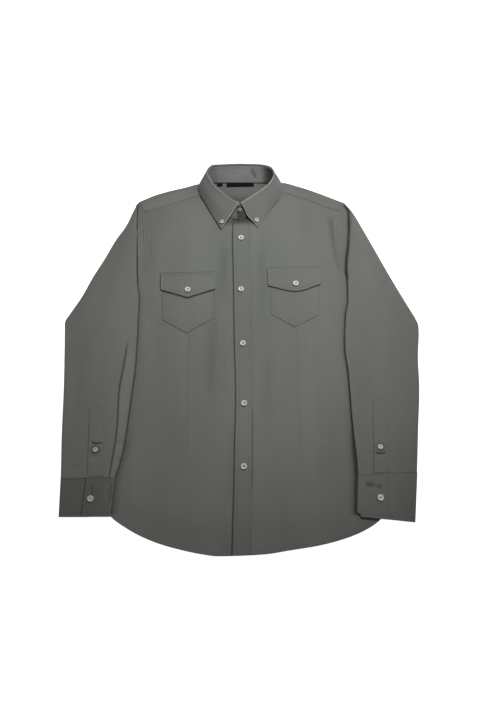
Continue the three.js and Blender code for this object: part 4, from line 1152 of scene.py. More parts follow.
@dataclass
class Body:
    """The back, the fronts with their darts, and the button band."""

    hem: float = 6.0
    armhole_stitch: float = 5.5
    armhole_from: float = 208.0
    seam_over: float = 1.0
    band_stitch: float = 5.6
    band_cloth: float = 1.15
    step: float = 3.3
    sheets: dict[str, Sheet] = field(default_factory=dict)

    def back(self) -> Sheet:
        """The back, flat on the floor, from the yoke's straight seam to the hem."""
        top = YOKE_BACK - 0.15
        down = np.concatenate(
            [spaced(150, 4.5, (True, False)) * 0.3, 0.3 + spaced(430, 6.0, (False, True))[1:] * 0.7]
        )
        left, right = (armhole_border(SIDES[s], top, 0.3, 0.45) for s in ("left", "right"))
        ends = [(float(SIDES[s].body(np.float64(top))), top) for s in ("left", "right")]
        places = patch(left, right, stepped(ends), path(HEM), down, spaced(490, 6.0))
        x, y = places[..., 0], places[..., 1]
        folds = (
            Fold(((-60, 200), (-66, 60), (-58, -120), (-70, -300)), 0.35, 14, 10),
            Fold(((58, 190), (70, 20), (60, -160)), 0.35, 10, 14),
            Fold(((-150, 60), (-140, -120), (-150, -300)), 0.3, 12, 12),
            Fold(((150, 40), (160, -100), (140, -290)), 0.3, 12, 14),
        )
        sheet = Sheet(np.dstack([x, y, CLOTH / 2 + relief(folds, x, y)]), CLOTH)
        for name, border in (("left", "first_column"), ("right", "last_column")):
            table = SLEEVES[name]
            near = bump(y - table.closes_at - 3, 9) * bump(sheet.from_border(border), 9)
            sheet.grid[..., 0] += table.sign * 3.0 * near
        self.finish_hem(sheet, -1)
        return sheet

    def finish_hem(self, sheet: Sheet, under: int) -> None:
        """Turns the hem up: a thicker band below a line of stitching, a little roped.

        Args:
            sheet: the cloth.
            under: 1 where the hem is turned under, and -1 for the back's.
        """
        far = sheet.from_border("last_row")
        band = 1 - ease((far - self.hem) / 1.2)
        sheet.thick += (HEM_CLOTH - CLOTH) * band
        sheet.grid[..., 2] -= under * (HEM_CLOTH - CLOTH) / 2 * band
        rope = np.sin(sheet.x / 2.3 + far / 3) * bump(far - 3, 3)
        if under > 0:
            sheet.grid[..., 2] += 0.06 * rope
            sheet.grooved("last_row", self.hem - 0.8, 0.16)
        # Painted shade along the hem's edge.
        sheet.wear_and_shading -= 0.4 * bump(far, 1.2)

    def front(self, side: str) -> Sheet:
        """One front, from the yoke's front seam and the neck down to the hem.

        Args:
            side: left or right.

        Returns:
            The front's cloth.
        """
        is_left = side == "left"
        corner = 299 - 0.3 if is_left else 302 - 0.3
        neck = [COLLAR[k].seam for k in (3, 2, 1, 0)]
        neck = [neck_edge(p if is_left else mirrored(p)) for p in neck]
        if is_left:
            neck[-1] = (-24.4, 282.4)
        yoke = [(x, y - 0.4) for x, y in YOKE_FRONT[side]]
        inner_top = (11.5, 275.5) if is_left else (float(band_right_at(280)) + 0.5, 277.5)
        under_stand = [(-18.5, 280.2), (-10, 275.0)] if is_left else []
        top = joined([stepped(yoke), path([yoke[-1], *neck, *under_stand, inner_top])], [0.55, 1])
        if is_left:
            inner = path([inner_top, (10.5, 150), (13, -125), (10.5, float(hem_at(10.5)))])
            bottom = hem_between(-251, 10.5)
        else:
            end = float(band_right_at(-398)) + 0.4

            def inner(share: np.ndarray) -> np.ndarray:
                """The edge beside the band."""
                y = mix(277.5, float(hem_at(end)), share)
                return np.stack([band_right_at(y) + 0.4, y], -1)

            bottom = hem_between(264, end)
        outer = armhole_border(SIDES[side], corner, 0.34, self.seam_over)
        down = np.concatenate(
            [spaced(228, self.step, (True, False)) * 0.34, 0.34 + spaced(410, 3.6, (False, True))[1:] * 0.66]
        )
        across = np.concatenate(
            [spaced(136, 2.9, (True, False)) * 0.55, 0.55 + spaced(112, 2.9, (False, True))[1:] * 0.45]
        )
        across = with_knots(across, [0.11, 0.22, 0.33, 0.44])
        fine = [np.arange(0.052, 0.19, 0.0055)]
        if is_left:
            fine.append(1 - np.arange(0.086, 0.126, 0.0036))
        for shares in fine:
            outside = (across < shares.min() - 0.003) | (across > shares.max() + 0.003)
            across = np.sort(np.concatenate([across[outside], shares]))
        places = beside_dart(lambda shares: patch(outer, inner, top, bottom, down, shares), across, side)
        floor = front_floor if is_left else right_front_floor
        x, y = places[..., 0], places[..., 1]
        z = floor(x, y) + WALL - CLOTH / 2
        if not is_left:
            beside = 1 - ease((x - band_right_at(y)) / 4.5)
            x = x - 3.2 * bump(np.maximum(x - band_right_at(y), 0), 2.0)
            z = z - 0.75 * beside
        sheet = laid(x, y, z, CLOTH)
        self.finish_hem(sheet, 1)
        border = "first_column" if is_left else "last_column"
        far = sheet.from_border(border)
        y = sheet.y
        closes = SLEEVES[side].closes_at
        sheet.grid[..., 0] += SLEEVES[side].sign * 1.8 * bump(y - closes - 3, 7) * bump(far, 7)
        on_armhole = ease((y - 170) / 45)
        sheet.grid[..., 2] += on_armhole * 0.12 * np.sin(y / 2.9 + np.sin(y / 9)) * bump(far - 3.5, 4.5)
        sheet.grid[..., 2] -= on_armhole * 0.16 * bump(far - self.armhole_stitch, 0.9)
        sheet.grid[..., 2] -= (1 - on_armhole) * ease((y - 95) / 12) * 0.3 * bump(far, 1.6)
        sheet.wear_and_shading += 0.3 * on_armhole * bump(far, 1.0)
        self.shade_front(sheet, side)
        return sheet

    @staticmethod
    def shade_front(sheet: Sheet, side: str) -> None:
        """Paints shade on a front: shadows beside its sleeve, its band and its pocket flap, the shade between
        the collar's points and soft dark bands, and its soft folds lighter on their ridges and darker in
        their troughs.

        Args:
            sheet: the cloth.
            side: left or right.
        """
        x, y = sheet.x, sheet.y
        beside = (SIDES[side].lying_edge(y) - x) * SLEEVES[side].sign
        lower = ease((-150 - y) / 70)
        width = mix(2.3, 4.6, lower) if side == "right" else 1.7
        away = mix(0.4, 2.7, lower) if side == "right" else 0.3
        there = ease((SLEEVES[side].closes_at + 20 - y) / 20) * ease((y + 334) / 7)
        line = 0.95 * bump(beside - away, width)
        soft = mix(0.16, 0.42, lower) * bump(beside - 1, 10)
        sheet.wear_and_shading -= there * np.maximum(line, soft)
        sheet.wear_and_shading -= relief(FRONT_SHADES[side], x, y)
        sheet.wear_and_shading += 0.12 * relief(FRONT_FOLDS, x, y)
        if side == "left":
            sheet.wear_and_shading -= 0.85 * bump(x - band_left_at(y) + 0.9, 1.5)
        sheet.wear_and_shading = mix(sheet.wear_and_shading, -0.55, under_collar(x, y))

    def band(self) -> Sheet:
        """The button band, which lies on the left front and ends beside the right one."""
        v = spaced(672, 3.0)[:, None]
        u = spaced(31, 1.1)[None, :]
        y = mix(BAND_TOP, hem_at(mix(-16, 15, u)), v)
        x = mix(band_left_at(y), band_right_at(y), u)
        lie = front_floor(x, y) + WALL + 0.25 + self.band_cloth / 2 + 0.5 * ease((u - 0.4) / 0.6)
        lie = lie + 0.18 * np.sin(y / 31 + 1) * (1 - ease(u / 0.35)) + 0.1 * bump(u - 0.5, 0.22)
        sheet = Sheet(np.dstack([x, y, lie]), self.band_cloth)
        for border in ("first_column", "last_column"):
            sheet.grooved(border, self.band_stitch, 0.22, 0.8)
            # Painted shade in the stitching's grooves.
            sheet.wear_and_shading -= 0.12 * bump(sheet.from_border(border) - self.band_stitch, 0.8)
        # Painted shade along the band's edges, where they stand over the fronts; then painted lighter overall
        # and darker towards the hem, and deep painted shade between the collar's points.
        sheet.wear_and_shading -= 0.6 * bump(x - band_left_at(y), 0.7) + 0.3 * bump(band_right_at(y) - x, 0.9)
        sheet.wear_and_shading += 0.12 - 0.2 * ease((-150 - y) / 150)
        sheet.wear_and_shading = mix(sheet.wear_and_shading, -0.8, under_collar(x, y))
        return sheet

    def build(self, shop: Shop) -> None:
        """Makes the body's cloth and its stitching lines.

        Args:
            shop: where finished pieces go.
        """
        self.sheets = {
            "back": self.back(),
            "front_left": self.front("left"),
            "front_right": self.front("right"),
            "placket": self.band(),
        }
        made = {name: shop.cloth(name + "_cloth", sheet, "cloth") for name, sheet in self.sheets.items()}
        for name, obj in made.items():
            shop.wear(obj, name)
        for side in ("left", "right"):
            sheet = self.sheets["front_" + side]
            shop.sew(sheet.line("last_row", self.hem - 0.8))
            armhole = sheet.line(
                "first_column" if side == "left" else "last_column", self.armhole_stitch, (3, 0)
            )
            shop.sew(armhole[armhole[:, 1] > self.armhole_from])
        band = self.sheets["placket"]
        for border in ("first_column", "last_column"):
            shop.sew(band.line(border, self.band_stitch, (1, 1)))
        shop.sew(band.line("last_row", self.hem, (1, 1)))
        shop.sew_piece("body_stitching")


@dataclass
class Yoke:
    """The yoke: from its seam with the back, up and over the shoulders, to the fronts."""

    columns: tuple[tuple[float, float, int | None], ...] = (
        (-187, -218.0, 0), (-158, -184.9, 1), (-130, -154.5, 2), (-103, -121.3, 3), (-82, -94, 4),
        (-64, -73, 5),
        (-52, -60, None), (-30, -34, None), (-3, -3, None), (24, 28, None), (46, 54, None),
        (60, 68.5, 5), (78, 86.5, 4), (103, 123.3, 3), (132, 163.6, 2), (163, 196, 1), (194.6, 219.3, 0),
    )  # fmt: skip
    knots: tuple[tuple[float, ...], ...] = ((240.7, 254, 268, 283, 299), (245, 260, 275, 289, 302))
    back_shares: tuple[float, ...] = (0, 0.22, 0.44, 0.62, 0.78, 0.9, 1)
    over: float = 2.0
    stitch: float = 1.6
    neck: Row = (-76.0, 71.0)
    sheet: Sheet | None = None

    def column(self, index: int) -> np.ndarray:
        """The control points of one column, from the back's seam to the front's.

        Args:
            index: the column's number.

        Returns:
            Points by (x, y, z).
        """
        base, fold, seam = self.columns[index]
        at_side = index in (0, len(self.columns) - 1)
        side = SIDES["left"] if index <= 8 else SIDES["right"]
        start = YOKE_BACK + 0.15
        fold_y = float(shoulder_at(fold))
        front = None if seam is None else YOKE_FRONT[side.name][seam]
        end_y = NECK_BACK if front is None else fold_y - TURN
        rows = []
        for i, v in enumerate(self.back_shares):
            inner = 0 < i < len(self.back_shares) - 1
            y = self.knots[index > 8][i - 1] if at_side and inner else mix(start, end_y, v)
            x = float(side.body(np.float64(y))) + side.sign * 0.4 if at_side else mix(base, fold, v)
            rows.append((x, y, HALF + neck_lift(x, y)))
        low = HALF + neck_lift(fold, fold_y - TURN)
        high = float(front_floor(np.float64(fold), np.float64(fold_y - TURN))) + HALF + 0.25
        middle, reach = (low + high) / 2, (high - low) / 2
        for turn_y, turn_z in ((-0.293, -0.707), (0, 0), (-0.293, 0.707), (-1, 1)):
            rows.append((fold, fold_y + turn_y * TURN, middle + turn_z * reach))
        seam_x, seam_y = front or (fold, fold_y)
        seam_x += side.sign * 0.5 if at_side else 0
        for t in (0.33, 0.67, 1):
            x, y = mix(fold, seam_x, t), mix(fold_y - TURN, seam_y - self.over, t)
            rows.append((x, y, float(front_floor(np.float64(x), np.float64(y))) + HALF + 0.25))
        return np.array(rows)

    def build(self, shop: Shop) -> None:
        """Makes the yoke, with its shoulders only beside the neck.

        Args:
            shop: where finished pieces go.
        """
        control = np.stack([self.column(k) for k in range(len(self.columns))], 1)
        down = steps_of(control.transpose(1, 0, 2), 2.6)
        across = steps_of(control, 3.2)
        grid = dense(control, (2.6, 3.2))
        last_back = sum(down[: len(self.back_shares) - 1])
        starts = np.concatenate([[0], np.cumsum(across)])
        keep = np.ones((grid.shape[0] - 1, grid.shape[1] - 1), bool)
        for k in range(len(self.columns) - 1):
            if self.columns[k][2] is None or self.columns[k + 1][2] is None:
                keep[last_back:, starts[k] : starts[k + 1]] = False
        sheet = Sheet(grid, CLOTH, keep)
        far = sheet.from_border("last_row")
        in_front = np.arange(grid.shape[0])[:, None] > last_back + 6
        sheet.grid[..., 2] += np.where(in_front, 0.38 * (1 - ease((far - 4) / 7)), 0)
        sheet.grid[..., 2] -= np.where(in_front, 0.14 * bump(far - self.stitch, 0.8), 0)
        # A painted highlight along the front seam's edge, and painted shade in its stitching.
        sheet.wear_and_shading += np.where(in_front, 0.35 * bump(far, 1.0) - 0.2 * bump(far - self.stitch, 0.7), 0)
        x, y = sheet.x, sheet.y
        # Painted lighter on the left front part.
        sheet.wear_and_shading += np.where(in_front, 0.9 * ease((-90 - x) / 40), 0)
        # Painted shade inside the neck, deeper towards the V and at its sides.
        in_neck = ease((74 - abs(x + 3)) / 8) * ease((y - 290) / 10)
        dark = 0.2 + 0.4 * ease((352 - y) / 36) + 0.25 * ease((abs(x + 3) - 30) / 30)
        sheet.wear_and_shading -= np.where(in_front, 0, in_neck * dark)
        # A painted highlight along the shoulders' fold.
        sheet.wear_and_shading += 0.35 * bump(abs(sheet.y - shoulder_at(sheet.x)), 1.4)
        self.sheet = sheet
        obj = shop.cloth("yoke_cloth", sheet, "cloth")
        shop.wear(obj, "yoke")
        seam = sheet.line("last_row", self.stitch)
        shop.sew(seam[seam[:, 0] < self.neck[0]])
        shop.sew(seam[seam[:, 0] > self.neck[1]])


@dataclass
class Sleeve:
    """One sleeve: a tube that lies flat, its inner edge over the body, with its pleat and wrinkles."""

    side: Side
    folds: tuple[Fold, ...]
    step: float = 3.2
    sheet: Sheet | None = None

    def floor(self, out: Number, y: Number) -> Number:
        """The middle of the lower layer: on the floor, and over the body's edge beside it."""
        side = self.side
        over = ease((side.sign * side.body(y) + 31 - out) / 21) * ease((side.table.closes_at + 14 - y) / 14)
        return mix(HALF, front_floor(side.sign * out, y) + LAYER + HALF + MARGIN, over)

    def top(self, out: Number, y: Number) -> Number:
        """The middle of the top layer at a distance out from the garment's middle.

        Args:
            out: the distance from the garment's middle.
            y: places up the garment.

        Returns:
            The height.
        """
        side = self.side
        inner, outer = side.sign * side.edge(y), side.sign * side.outer(y)
        t = np.clip((out - inner) / (outer - inner), 0, 1)
        closed = y <= side.table.closes_at
        at_edge = self.floor(inner + TURN, y) + 2 * TURN if closed else side.rise(y)
        pleat = side.pleat_step(y) * ease((out - inner - side.pleat_out(y) + 0.9) / 1.8) * (1 - ease(t))
        swell = mix(1.3, 0.8, ease((y - side.table.closes_at) / 70)) * np.sin(np.pi * t)
        height = mix(at_edge, HALF + 2 * TURN, ease(t * 0.9 + 0.05)) + swell + pleat
        away = ease((out - inner) / 5) * ease((outer - out) / 9)
        return height + away * relief(self.folds, np.asarray(side.sign * out, float), np.asarray(y, float))

    def row(self, y: float) -> np.ndarray:
        """The control points round the sleeve at a height y.

        Args:
            y: places up the garment.

        Returns:
            Points by (x, y, z).
        """
        side = self.side
        inner, outer = float(side.sign * side.edge(y)), float(side.sign * side.outer(y))
        body = float(side.sign * side.body(np.float64(y)))
        seam = body + float(mix(0.5, 0.9, ease((y - 285) / 20)))
        closed = y <= side.table.closes_at

        def top(out: float) -> Row:
            """A point of the top layer."""
            return out, float(self.top(out, y))

        fold = inner + float(side.pleat_out(y)) if closed else inner + min(14, (outer - inner) * 0.3)
        row: list[tuple[float, float]] = []
        if closed:
            low = float(self.floor(inner + TURN, y))
            middle = low + TURN
            row += [
                (inner, middle), (inner + 0.13 * TURN, middle + 0.5 * TURN),
                (inner + 0.5 * TURN, middle + 0.87 * TURN)
            ]
            row += [(inner + TURN, middle + TURN), top(inner + 5)]
        else:

            def level(out: float) -> float:
                """The middle of cloth that lies on the front."""
                return float(front_floor(np.float64(side.sign * out), np.float64(y))) + WALL - HALF

            room = inner - seam
            rise, crease = float(side.rise(y)), float(side.crease(y))
            row += [(seam - 3, level(seam - 3) - 0.85), (seam, level(seam) - 0.1)]
            row += [(mix(seam, inner, 0.5), level(mix(seam, inner, 0.5)) + 0.1)]
            row += [(inner - min(1.5, room * 0.3), float(mix(level(inner), rise - crease, ease(room / 12))))]
            row += [(inner + min(2.5, room * 0.4), rise)]
        narrow = min(1, (outer - inner) / 60)
        row += self.pleat(fold, narrow, float(side.pleat_step(y)) if closed else 0.0, top)
        last = outer - min(7, (outer - fold) * 0.3)
        start = fold + 1.9 * narrow
        row += [top(mix(start, last, t)) for t in (0.2, 0.42, 0.64, 0.84, 1.0)]
        high = HALF + 2 * TURN
        row += [(outer - TURN, high), (outer - TURN * 0.3, high - TURN * 0.3), (outer, HALF + TURN)]
        row += [(outer - TURN * 0.3, HALF + TURN * 0.3), (outer - TURN, HALF)]
        if closed:
            clear = body + 36
            places = [outer - 7, mix(outer - 7, clear, 0.5), clear, body + 27, body + 19, body + 11]
            places += [mix(body + 11, inner + 5, 0.5), inner + 5, inner + TURN]
            row += [(out, float(self.floor(out, y))) for out in places]
            row += [(inner + TURN * 0.3, float(self.floor(inner + TURN, y)) + TURN * 0.3), row[0]]
        else:
            row += [(mix(outer - TURN, seam - 1, k / 11), HALF) for k in range(1, 12)]
        lean = side.table.lean * float(ease((-120 - y) / 130))
        middle = (inner + outer) / 2
        return np.array([(side.sign * out, y + lean * (out - middle), z) for out, z in row])

    def creased(self, sheet: Sheet) -> None:
        """Presses the puckers beside the armhole into the top layer, and paints shade into its creases and
        highlights on its puckers.

        Args:
            sheet: the cloth.
        """
        side = self.side
        x, y = sheet.x, sheet.y
        out, inner = x * side.sign, side.edge(y) * side.sign
        upper = sheet.normals()[..., 2] * (1 if side.sign > 0 else -1) > 0.1
        opened = ease((y - side.table.closes_at + 4) / 10)
        between = ease((inner + 1 - out) / 2) * opened * ease((303 - y) / 12)
        strong = (1.25 if side.sign < 0 else 0.5) * ease((y - 178) / 65)
        wander = 1.3 * np.sin(y / 19) + 0.7 * np.sin(y / 7.7 + out / 5)
        pucker = np.sin(out * 1.25 + wander) * (
            0.6 + 0.4 * np.sin(y / 12 + out * 0.4)
        ) + 0.5 * np.sin(out * 2.4 - y / 10)
        sheet.grid[..., 2] += np.where(upper, between * strong * 0.36 * pucker, 0)
        wide = 1.6 if side.sign < 0 else 3.2
        crease = bump(out - inner + 1.0 * opened, mix(1.1, wide, opened)) * mix(0.8, 1.0, opened)
        step = np.clip(side.pleat_step(y) / 1.4, 0, 1) * (1 - opened)
        pleat = bump(out - inner - side.pleat_out(y) + 0.3, 1.4) * step
        strip = ease((out - inner - 3) / 3) * ease((side.pleat_out(y) - 3 - out + inner) / 3) * step
        trough = 0.9 * np.clip((-relief(self.folds, x, y) - 0.62) / 0.35, 0, 1) * ease((out - inner) / 2)
        # Painted highlights on the strip beside the pleat and on the puckers' ridges; painted shade in their
        # hollows, at the inner edge's crease, under the pleat, in the troughs, and on the lower layer and the
        # folds' sides.
        light = 0.65 * strip * (1 - np.minimum(trough / 0.9, 1)) + between * strong * np.where(
            pucker > 0, 1.5, 0.35
        ) * pucker
        sheet.wear_and_shading += np.where(upper, light - np.maximum(crease, pleat) - trough - 0.1 * between, -0.6)

    @staticmethod
    def pleat(fold: float, narrow: float, step: float, top: Callable[[float], Row]) -> list[Row]:
        """The pleat: the outer cloth stands over the strip beside the inner edge, folded under itself.

        Args:
            fold: the place of the pleat's edge.
            narrow: how much the pleat is narrowed.
            step: the fold's height.
            top: the top layer's points.

        Returns:
            Points by (out, z).
        """
        deep = step / 1.4
        low, high = top(fold - 0.9 * narrow)[1], top(fold + 0.9 * narrow)[1]
        moves = (
            (-1.2, 0.0, 0.0), (-0.8, 3.0, 0.05), (-0.4, 3.1, 0.3), (0.0, 2.2, 0.5), (0.4, -1.0, 0.52),
            (0.8, -1.9, 0.76), (1.2, -1.8, 1.0)
        )
        return [(fold + base * narrow + move * deep, mix(low, high, rise)) for base, move, rise in moves]

    def build(self, shop: Shop) -> None:
        """Makes the sleeve's cloth.

        Args:
            shop: where finished pieces go.
        """
        side = self.side
        closes = side.table.closes_at
        knots = [y for _, y in ARMHOLES[side.name] if closes + 4 < y < side.table.top - 4]
        ys = [side.table.top, *knots, closes + 5, closes, side.table.end]
        rows = [side.table.top]
        for above, below in zip(ys[:-1], ys[1:]):
            count = max(1, math.ceil((above - below) / self.step))
            rows += list(np.linspace(above, below, count + 1)[1:])
        rows = [*rows[:-1], side.table.end + 1, side.table.end]
        control = np.stack([self.row(float(y)) for y in rows])
        tip = np.array([*ARMHOLES[side.name][0], 1.9])
        cap = [
            mix(control[0], tip + (control[0] - tip) * [0.2, 0.2, 0.35], share) for share in (1.0, 0.66, 0.33)
        ]
        control = np.concatenate([cap, control])
        rows = [side.table.top] * len(cap) + rows
        counts = steps_of(control, self.step)
        counts[:6] = [count * 2 for count in counts[:6]]
        grid = np.stack([chord(row, counts) for row in control])
        closed = np.array([y <= closes for y in rows])
        sheet = Sheet(grid, CLOTH, closed=closed)
        self.creased(sheet)
        if side.sign < 0:
            sheet = sheet.turned()
        self.sheet = sheet
        name = "sleeve_" + side.name
        obj = shop.cloth(name + "_cloth", sheet, "cloth")
        shop.wear(obj, name)


SLEEVE_FOLDS = {
    "left": (
        Fold(((-222, 296), (-221, 240), (-217, 170), (-210, 100)), 0.5, 4, 6),
        Fold(((-246, 236), (-262, 170), (-282, 96), (-300, 20)), -0.55, 14, 12),
        Fold(((-232, 190), (-240, 110), (-252, 20), (-258, -70)), -0.6, 10, 12),
        Fold(((-292, 60), (-290, -60), (-292, -150)), 0.6, 14, 14),
        Fold(((-318, 20), (-314, -70), (-312, -160)), -0.4, 9, 10),
        Fold(((-233, -197), (-226, -200), (-219, -199)), -0.95, 3.5, 3, 0.2),
        Fold(((-231, -231), (-226, -233), (-221, -232)), -0.8, 2.5, 2.5, 0.2),
        Fold(((-281, -198), (-270, -202), (-256, -200)), -0.9, 2.4, 3, 0.2),
        Fold(((-281, -206), (-270, -208), (-258, -206)), 0.4, 2.4, 3, 0.2),
        Fold(((-284, -226), (-270, -229), (-254, -225)), -0.45, 3, 3, 0.2),
        Fold(((-320, -250), (-304, -240), (-290, -248)), -0.5, 4, 5, 0.2),
        Fold(((-247, -262), (-243, -240), (-246, -214)), -0.5, 3, 4, 0.2),
    ),
    "right": (
        Fold(((232, 282), (231, 230), (224, 160)), 0.45, 6, 5),
        Fold(((250, 232), (268, 160), (288, 90), (304, 20)), -0.55, 12, 14),
        Fold(((228, 150), (240, 80), (246, 0), (246, -80)), -0.6, 12, 10),
        Fold(((296, 50), (292, -60), (290, -150)), 0.6, 14, 14),
        Fold(((322, 10), (318, -80), (312, -170)), -0.4, 10, 9),
        Fold(((208, -162), (214, -184), (222, -208)), -0.62, 4.5, 5, 0.3),
        Fold(((211, -180), (212, -200), (216, -222)), 0.5, 3, 4, 0.2),
        Fold(((209, -240), (218, -238), (225, -248), (226, -262)), -0.6, 4, 4.5, 0.3),
        Fold(((230, -262), (233, -246), (231, -226)), 0.4, 4, 4, 0.2),
        Fold(((244, -219), (256, -221), (268, -218)), -0.9, 2.4, 3, 0.2),
        Fold(((244, -212), (256, -213), (267, -212)), 0.35, 2.4, 3, 0.2),
        Fold(((300, -240), (288, -232), (276, -240)), -0.45, 4, 5, 0.2),
    ),
}


def halfway(p: Row, q: Row) -> Row:
    """The point in the middle of two."""
    return mix(p[0], q[0], 0.5), mix(p[1], q[1], 0.5)


@dataclass
class Pocket:
    """A chest pocket with a pointed foot, and its pointed flap.

    Args:
        side: which side of the garment.
        bag: the bag's left side, foot and right side.
        flap: its upper left corner, lower left corner, point, lower right and upper right corner.
        button: where the flap's button is.
        lift: how far the flap's free edge stands up.
        curved: whether that edge sags in a curve.
    """

    side: str
    bag: tuple[Row, ...]
    flap: tuple[Row, ...]
    button: Row
    lift: float
    curved: bool
    stitches: Row = (1.6, 6.2)
    top_stitches: Row = (2.0, 7.2)
    edge_stitch: float = 5.4
    sewn: float = 0.02
    cloth: float = 0.75
    flap_cloth: float = 0.95
    flap_sheet: Sheet | None = None

    def lie(self, x: np.ndarray, y: np.ndarray) -> np.ndarray:
        """The top face of the front that the pocket is sewn to."""
        return (front_floor if self.side == "left" else right_front_floor)(x, y) + WALL

    def bag_sheet(self) -> Sheet:
        """The bag, whose mouth is hidden under the flap."""
        b = self.bag
        down = spaced(96, 1.5)
        across = with_knots(spaced(104, 2.0), [0.5])
        places = patch(
            stepped([b[0], b[1], halfway(b[1], b[2]), b[2]]),
            stepped([b[6], b[5], halfway(b[5], b[4]), b[4]]),
            stepped([b[0], b[6]]), stepped([b[2], b[3], b[4]]), down, across,
        )  # fmt: skip
        x, y = places[..., 0], places[..., 1]
        sheet = laid(x, y, self.lie(x, y) + 0.02 + self.cloth / 2, self.cloth)
        nearest = sheet.nearest("first_column", "last_column", "last_row")
        sheet.grid[..., 2] += 0.32 * ease((nearest - 7) / 14)
        for inset in self.stitches:
            sheet.grid[..., 2] -= 0.2 * bump(nearest - inset, 0.8)
        # Painted shade: dark lines along the bag's edges and stitching, and the flap's shadow on the bag
        # below its free edge.
        dark, reach, under_flap = (0.12, 1.1, 0.55) if self.curved else (0.3, 2.1, 0.85)
        sheet.wear_and_shading -= dark * bump(nearest, 0.8) + 0.08 * bump(nearest - self.stitches[0], 0.7)
        share = np.linspace(0, 1, 25)
        edge = self.free_edge()(share) - [0, 1.2]
        under = Fold(tuple(map(tuple, edge)), under_flap, reach, reach, 0.05)
        sheet.wear_and_shading -= under.at(sheet.x, sheet.y)
        return sheet

    def free_edge(self) -> Curve:
        """The flap's lower edge, pointed or sagging."""
        return (path if self.curved else stepped)(self.flap[1:4])

    def make_flap(self) -> Sheet:
        """The flap, which bends over the bag's mouth and stands up a little at its free edge."""
        f = self.flap
        down = spaced(44, 2.0)
        across = with_knots(spaced(108, 2.2), [0.5])
        places = patch(
            stepped(f[:2]), stepped([f[4], f[3]]), stepped([f[0], f[4]]), self.free_edge(), down, across
        )
        x, y = places[..., 0], places[..., 1]
        u = np.clip((x - f[0][0]) / (f[4][0] - f[0][0]), 0, 1)
        drop = mix(f[0][1], f[4][1], u) - y
        sheet = laid(x, y, self.lie(x, y) + 0.02 + self.flap_cloth / 2, self.flap_cloth)
        tip = ease((drop - 12) / 34) * (self.lift + 0.35 * np.sin(u * np.pi * 2 + 0.6) * (self.lift > 1))
        sheet.grid[..., 2] += 1.15 * ease((drop - 3) / 7) + tip
        nearest = sheet.nearest("first_column", "last_column", "last_row")
        for inset in self.top_stitches:
            sheet.grid[..., 2] -= 0.2 * bump(sheet.from_border("first_row") - inset, 0.8)
        sheet.grid[..., 2] -= 0.16 * bump(nearest - self.edge_stitch, 0.8)
        pulled = np.hypot(x - self.button[0], (y - self.button[1]) * 0.8)
        sheet.grid[..., 2] -= 0.35 * bump(pulled, 9)
        # Painted shade along the top edge and its stitching, a painted highlight just inside the other edges,
        # and painted shade at their rim.
        from_top = sheet.from_border("first_row")
        lines = 0.3 * bump(from_top - 2, 0.6) + (0.2 if self.curved else 0.5) * bump(from_top - 7.2, 0.8)
        sheet.wear_and_shading -= (0.25 if self.curved else 0.5) * bump(from_top - 0.2, 0.7) + lines
        sheet.wear_and_shading += 0.35 * bump(nearest - 1.2, 0.8) - 0.3 * bump(nearest, 0.6)
        return sheet

    def build(self, shop: Shop) -> None:
        """Makes the bag and the flap, with their stitching.

        Args:
            shop: where finished pieces go.
        """
        bag = self.bag_sheet()
        self.flap_sheet = self.make_flap()
        made_bag = shop.cloth(f"pocket_{self.side}_cloth", bag, "cloth")
        made_flap = shop.cloth(f"flap_{self.side}_cloth", self.flap_sheet, "cloth")
        shop.wear(made_bag, "pocket_" + self.side)
        shop.wear(made_flap, "flap_" + self.side)
        for inset in self.stitches:
            foot = bag.line("last_row", inset, (inset, inset))
            left, right = (bag.line(border, inset, (0, inset)) for border in ("first_column", "last_column"))
            for line in (left, foot, right):
                shop.sew(line)
        for inset in self.top_stitches:
            shop.sew(self.flap_sheet.line("first_row", inset, (1.5, 1.5)))
        for border in ("first_column", "last_column"):
            shop.sew(self.flap_sheet.line(border, self.edge_stitch, (0, self.edge_stitch)))
        shop.sew(self.flap_sheet.line("last_row", self.edge_stitch, (self.edge_stitch,) * 2))
        shop.sew_piece(f"pocket_{self.side}_stitching")


POCKETS = (
    Pocket(
        "left",
        (
            (-160.6, 143.0), (-160.0, 113.0), (-157.5, 47.9), (-107.3, 19.1), (-56.8, 51.4), (-54.6, 116.0),
            (-54.2, 146.0)
        ),
        ((-164.1, 151.2), (-162.5, 113.2), (-107.9, 96.3), (-53.0, 116.1), (-53.6, 155.5)),
        (-108.3, 113.0),
        0.9,
        False,
    ),
    Pocket(
        "right",
        (
            (56.6, 150.0), (57.5, 113.0), (59.5, 59.0), (105.8, 32.6), (154.8, 59.0), (158.6, 126.0),
            (159.6, 155.0)
        ),
        ((52.0, 164.5), (54.0, 121.9), (109.1, 110.3), (160.0, 126.2), (161.8, 165.9)),
        (109.6, 127.0),
        1.0,
        True,
    ),
)


# Each strip's outer side, inner side and button.
GAUNTLETS = {
    "left": (((-287, -137), (-281, -261.8)), ((-260.6, -134), (-251, -262.2)), (-269.4, -213.8)),
    "right": (((275, -119), (268.4, -254.2)), ((248, -121), (240.6, -257.6)), (255.8, -208.3)),
}
